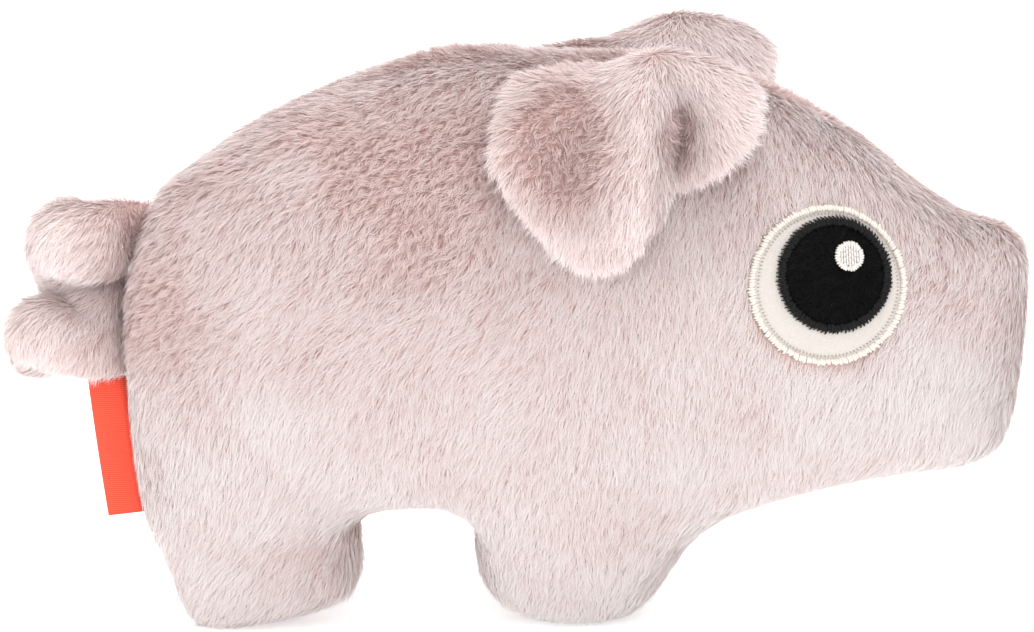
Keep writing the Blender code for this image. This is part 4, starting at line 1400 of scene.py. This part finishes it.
def sew_eye(eye, tree, seed):
    """All five pieces of one eye."""
    hand = eye["hand"]
    white, border = eye["eye_white"], eye["eye_border"]
    black, black_border, glint = eye["pupil"], eye["pupil_border"], eye["eye_highlight"]
    on_white = ON_CHEEK + WHITE_HEIGHT
    on_black = on_white + PUPIL_HEIGHT
    pieces = {
        "eye_white": disc_piece(
            hand + "_eye_white_disc", eye, tree, white["centre"],
            border["radius"] - DISC_UNDER_BORDER, ON_CHEEK, WHITE_HEIGHT,
            white["radius"] - HOLES_FROM_EDGE, white_felt),
        "eye_border": stitched_ring(
            hand + "_eye_border_stitches", eye, tree, border["centre"], white["radius"],
            border["radius"], BORDER_PITCH, ON_CHEEK, BORDER_ARCH, BORDER_RAGGED,
            cream_thread, seed),
        "pupil": disc_piece(
            hand + "_pupil_disc", eye, tree, black["centre"], black["radius"], on_white,
            PUPIL_HEIGHT, 0, black_felt),
        "pupil_border": stitched_ring(
            hand + "_pupil_border_stitches", eye, tree, black_border["centre"],
            black["radius"] - 0.0002, black_border["radius"] - 0.0004, PUPIL_PITCH, on_white,
            PUPIL_ARCH, PUPIL_RAGGED, charcoal_thread, seed + 1),
    }
    rim = glint["radius"] * GLINT_SHARE
    paths = brick_fill(
        eye, tree, glint["centre"], rim - GLINT_PITCH, GLINT_PITCH, on_black, GLINT_ARCH)
    radii = np.full(paths.shape[:2], GLINT_PITCH * BRICK_THREAD)
    pieces["eye_highlight"] = thread_piece(
        hand + "_highlight_stitches", paths, radii, eye["out"], white_thread)
    edge = stitched_ring(
        hand + "_highlight_edge", eye, tree, glint["centre"], rim - 1.6 * GLINT_PITCH, rim,
        GLINT_PITCH * 0.9, on_black, GLINT_EDGE_ARCH, GLINT_RAGGED, white_thread, seed + 3)
    for name, piece in pieces.items():
        dress(piece, "body", EYE_SLOTS[name], hand + "_" + name)
    dress(edge, "body", "white_thread")
    glint_place = eye["middle"] + glint["centre"] @ np.stack([eye["forward"], eye["up"]])
    grow(
        hand + "_pupil_nap", skin_arrays(pieces["pupil"].data),
        lambda roots, normals: roots - glint_place, dict(PUPIL_STYLE, seed=seed + 4),
        black_strand, "body", "black_felt",
        keep=lambda roots: np.linalg.norm(roots - glint_place, axis=1) > rim)
    print(hand, "eye sewn with", len(pieces["eye_border"].data.polygons), "faces in its border")


for hand, seed in (("right", 301), ("left", 311)):
    sew_eye(eyes[hand], skin_tree(skins[hand + "_side"]), seed)

# %% [markdown]
# ## The label
#
# A strip of woven satin ribbon, folded once along its length, with both cut edges sewn into
# the rear seam. It stays bare. A flat box could stand for it, but it is swept as a narrow
# loop, so the fold is round and the ribbon has two layers, and it bellies out a little, as
# ribbon that has been handled does. The floats of the satin are a fine wave in its finish.

# %% Ribbon finish
RIBBON_DARK = (0.86, 0.075, 0.040, 1)
RIBBON_PALE = (0.95, 0.115, 0.065, 1)
RIBBON_FLOATS = 900
RIBBON_DEPTH = 0.00006


def ribbon_finish():
    """Orange-red satin: fine floats across the ribbon and a soft gloss."""
    material, tree, shader = node_material("orange_ribbon")
    place = tree.nodes.new("ShaderNodeTexCoord")
    wave = tree.nodes.new("ShaderNodeTexWave")
    wave.bands_direction = "Z"
    wave.inputs["Scale"].default_value = RIBBON_FLOATS
    wave.inputs["Distortion"].default_value = 1.2
    tree.links.new(place.outputs["Object"], wave.inputs["Vector"])
    colour = mix_colours(tree, wave.outputs["Fac"], RIBBON_DARK, RIBBON_PALE)
    tree.links.new(colour, shader.inputs["Base Color"])
    shader.inputs["Roughness"].default_value = 0.7
    shader.inputs["Specular IOR Level"].default_value = 0.2
    bumped(tree, shader, wave.outputs["Fac"], RIBBON_DEPTH)
    return material


orange_ribbon = ribbon_finish()
print("the ribbon's finish is", orange_ribbon.name)

# %% [markdown]
# ## Folding the label
#
# The solid tells how long and wide the label is and which way it points. From that comes the
# outline of the folded ribbon, seen from its end, and the outline is swept along the seam.

# %% Label
RIBBON_THICKNESS = 0.00022
RIBBON_STEPS = 24
RIBBON_FOLD_POINTS = 8
RIBBON_BELLY = 0.0005


def make_label():
    """The ribbon as a loop swept along the seam."""
    points = solid_points("seam_label")
    middle = points.mean(axis=0)
    along = np.linalg.svd(points - middle, full_matrices=False)[2][0]
    along *= -np.sign(along[2])
    out = np.array([along[2], 0, -along[0]])
    length, width = ((points @ axis).max() - (points @ axis).min() for axis in (along, out))
    half = (points[:, 1].max() - points[:, 1].min()) / 2 - RIBBON_THICKNESS
    turn = np.linspace(-np.pi / 2, np.pi / 2, RIBBON_FOLD_POINTS)
    loop = [(-width / 2, -half * 0.5)]
    loop += [(width * (k / 4 - 0.5), -half) for k in range(1, 4)]
    loop += [(width / 2 - half + half * math.cos(a), half * math.sin(a)) for a in turn]
    loop += [(width * (k / 4 - 0.5), half) for k in range(3, 0, -1)]
    loop += [(-width / 2, half * 0.5)]
    loop = np.array(loop)
    rows = []
    for share in np.linspace(-0.5, 0.5, RIBBON_STEPS):
        belly = RIBBON_BELLY * math.cos(math.pi * share)
        belly = belly * np.clip(loop[:, 0] / width + 0.5, 0, 1)
        sideways = np.array([0, 1.0, 0]) * (loop[:, 1] - belly)[:, None]
        rows.append(middle + along * length * share + loop[:, :1] * out + sideways)
    grid = np.arange(RIBBON_STEPS * len(loop)).reshape(RIBBON_STEPS, -1)
    quads = np.stack([grid[:-1, :-1], grid[:-1, 1:], grid[1:, 1:], grid[1:, :-1]], axis=-1)
    faces = quads.reshape(-1, 4).tolist()
    piece = piece_from("folded_ribbon", np.concatenate(rows), faces, orange_ribbon)
    wall = piece.modifiers.new("ribbon", "SOLIDIFY")
    wall.thickness = RIBBON_THICKNESS
    wall.offset = 0
    dress(piece, "label", "ribbon", "seam_label")


make_label()

# %% [markdown]
# ## Finish
#
# The sizes of the solids and of the dressed toy are printed one after the other, to be
# compared.

# %% Sizes and the end
boxes = {"solids": solid_bounds, "dressed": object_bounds()}
sizes = {name: [list(map(float, corner)) for corner in box] for name, box in boxes.items()}
for name, (low, high) in sizes.items():
    print(name, [round((b - a) * 1000, 1) for a, b in zip(low, high)], "mm")
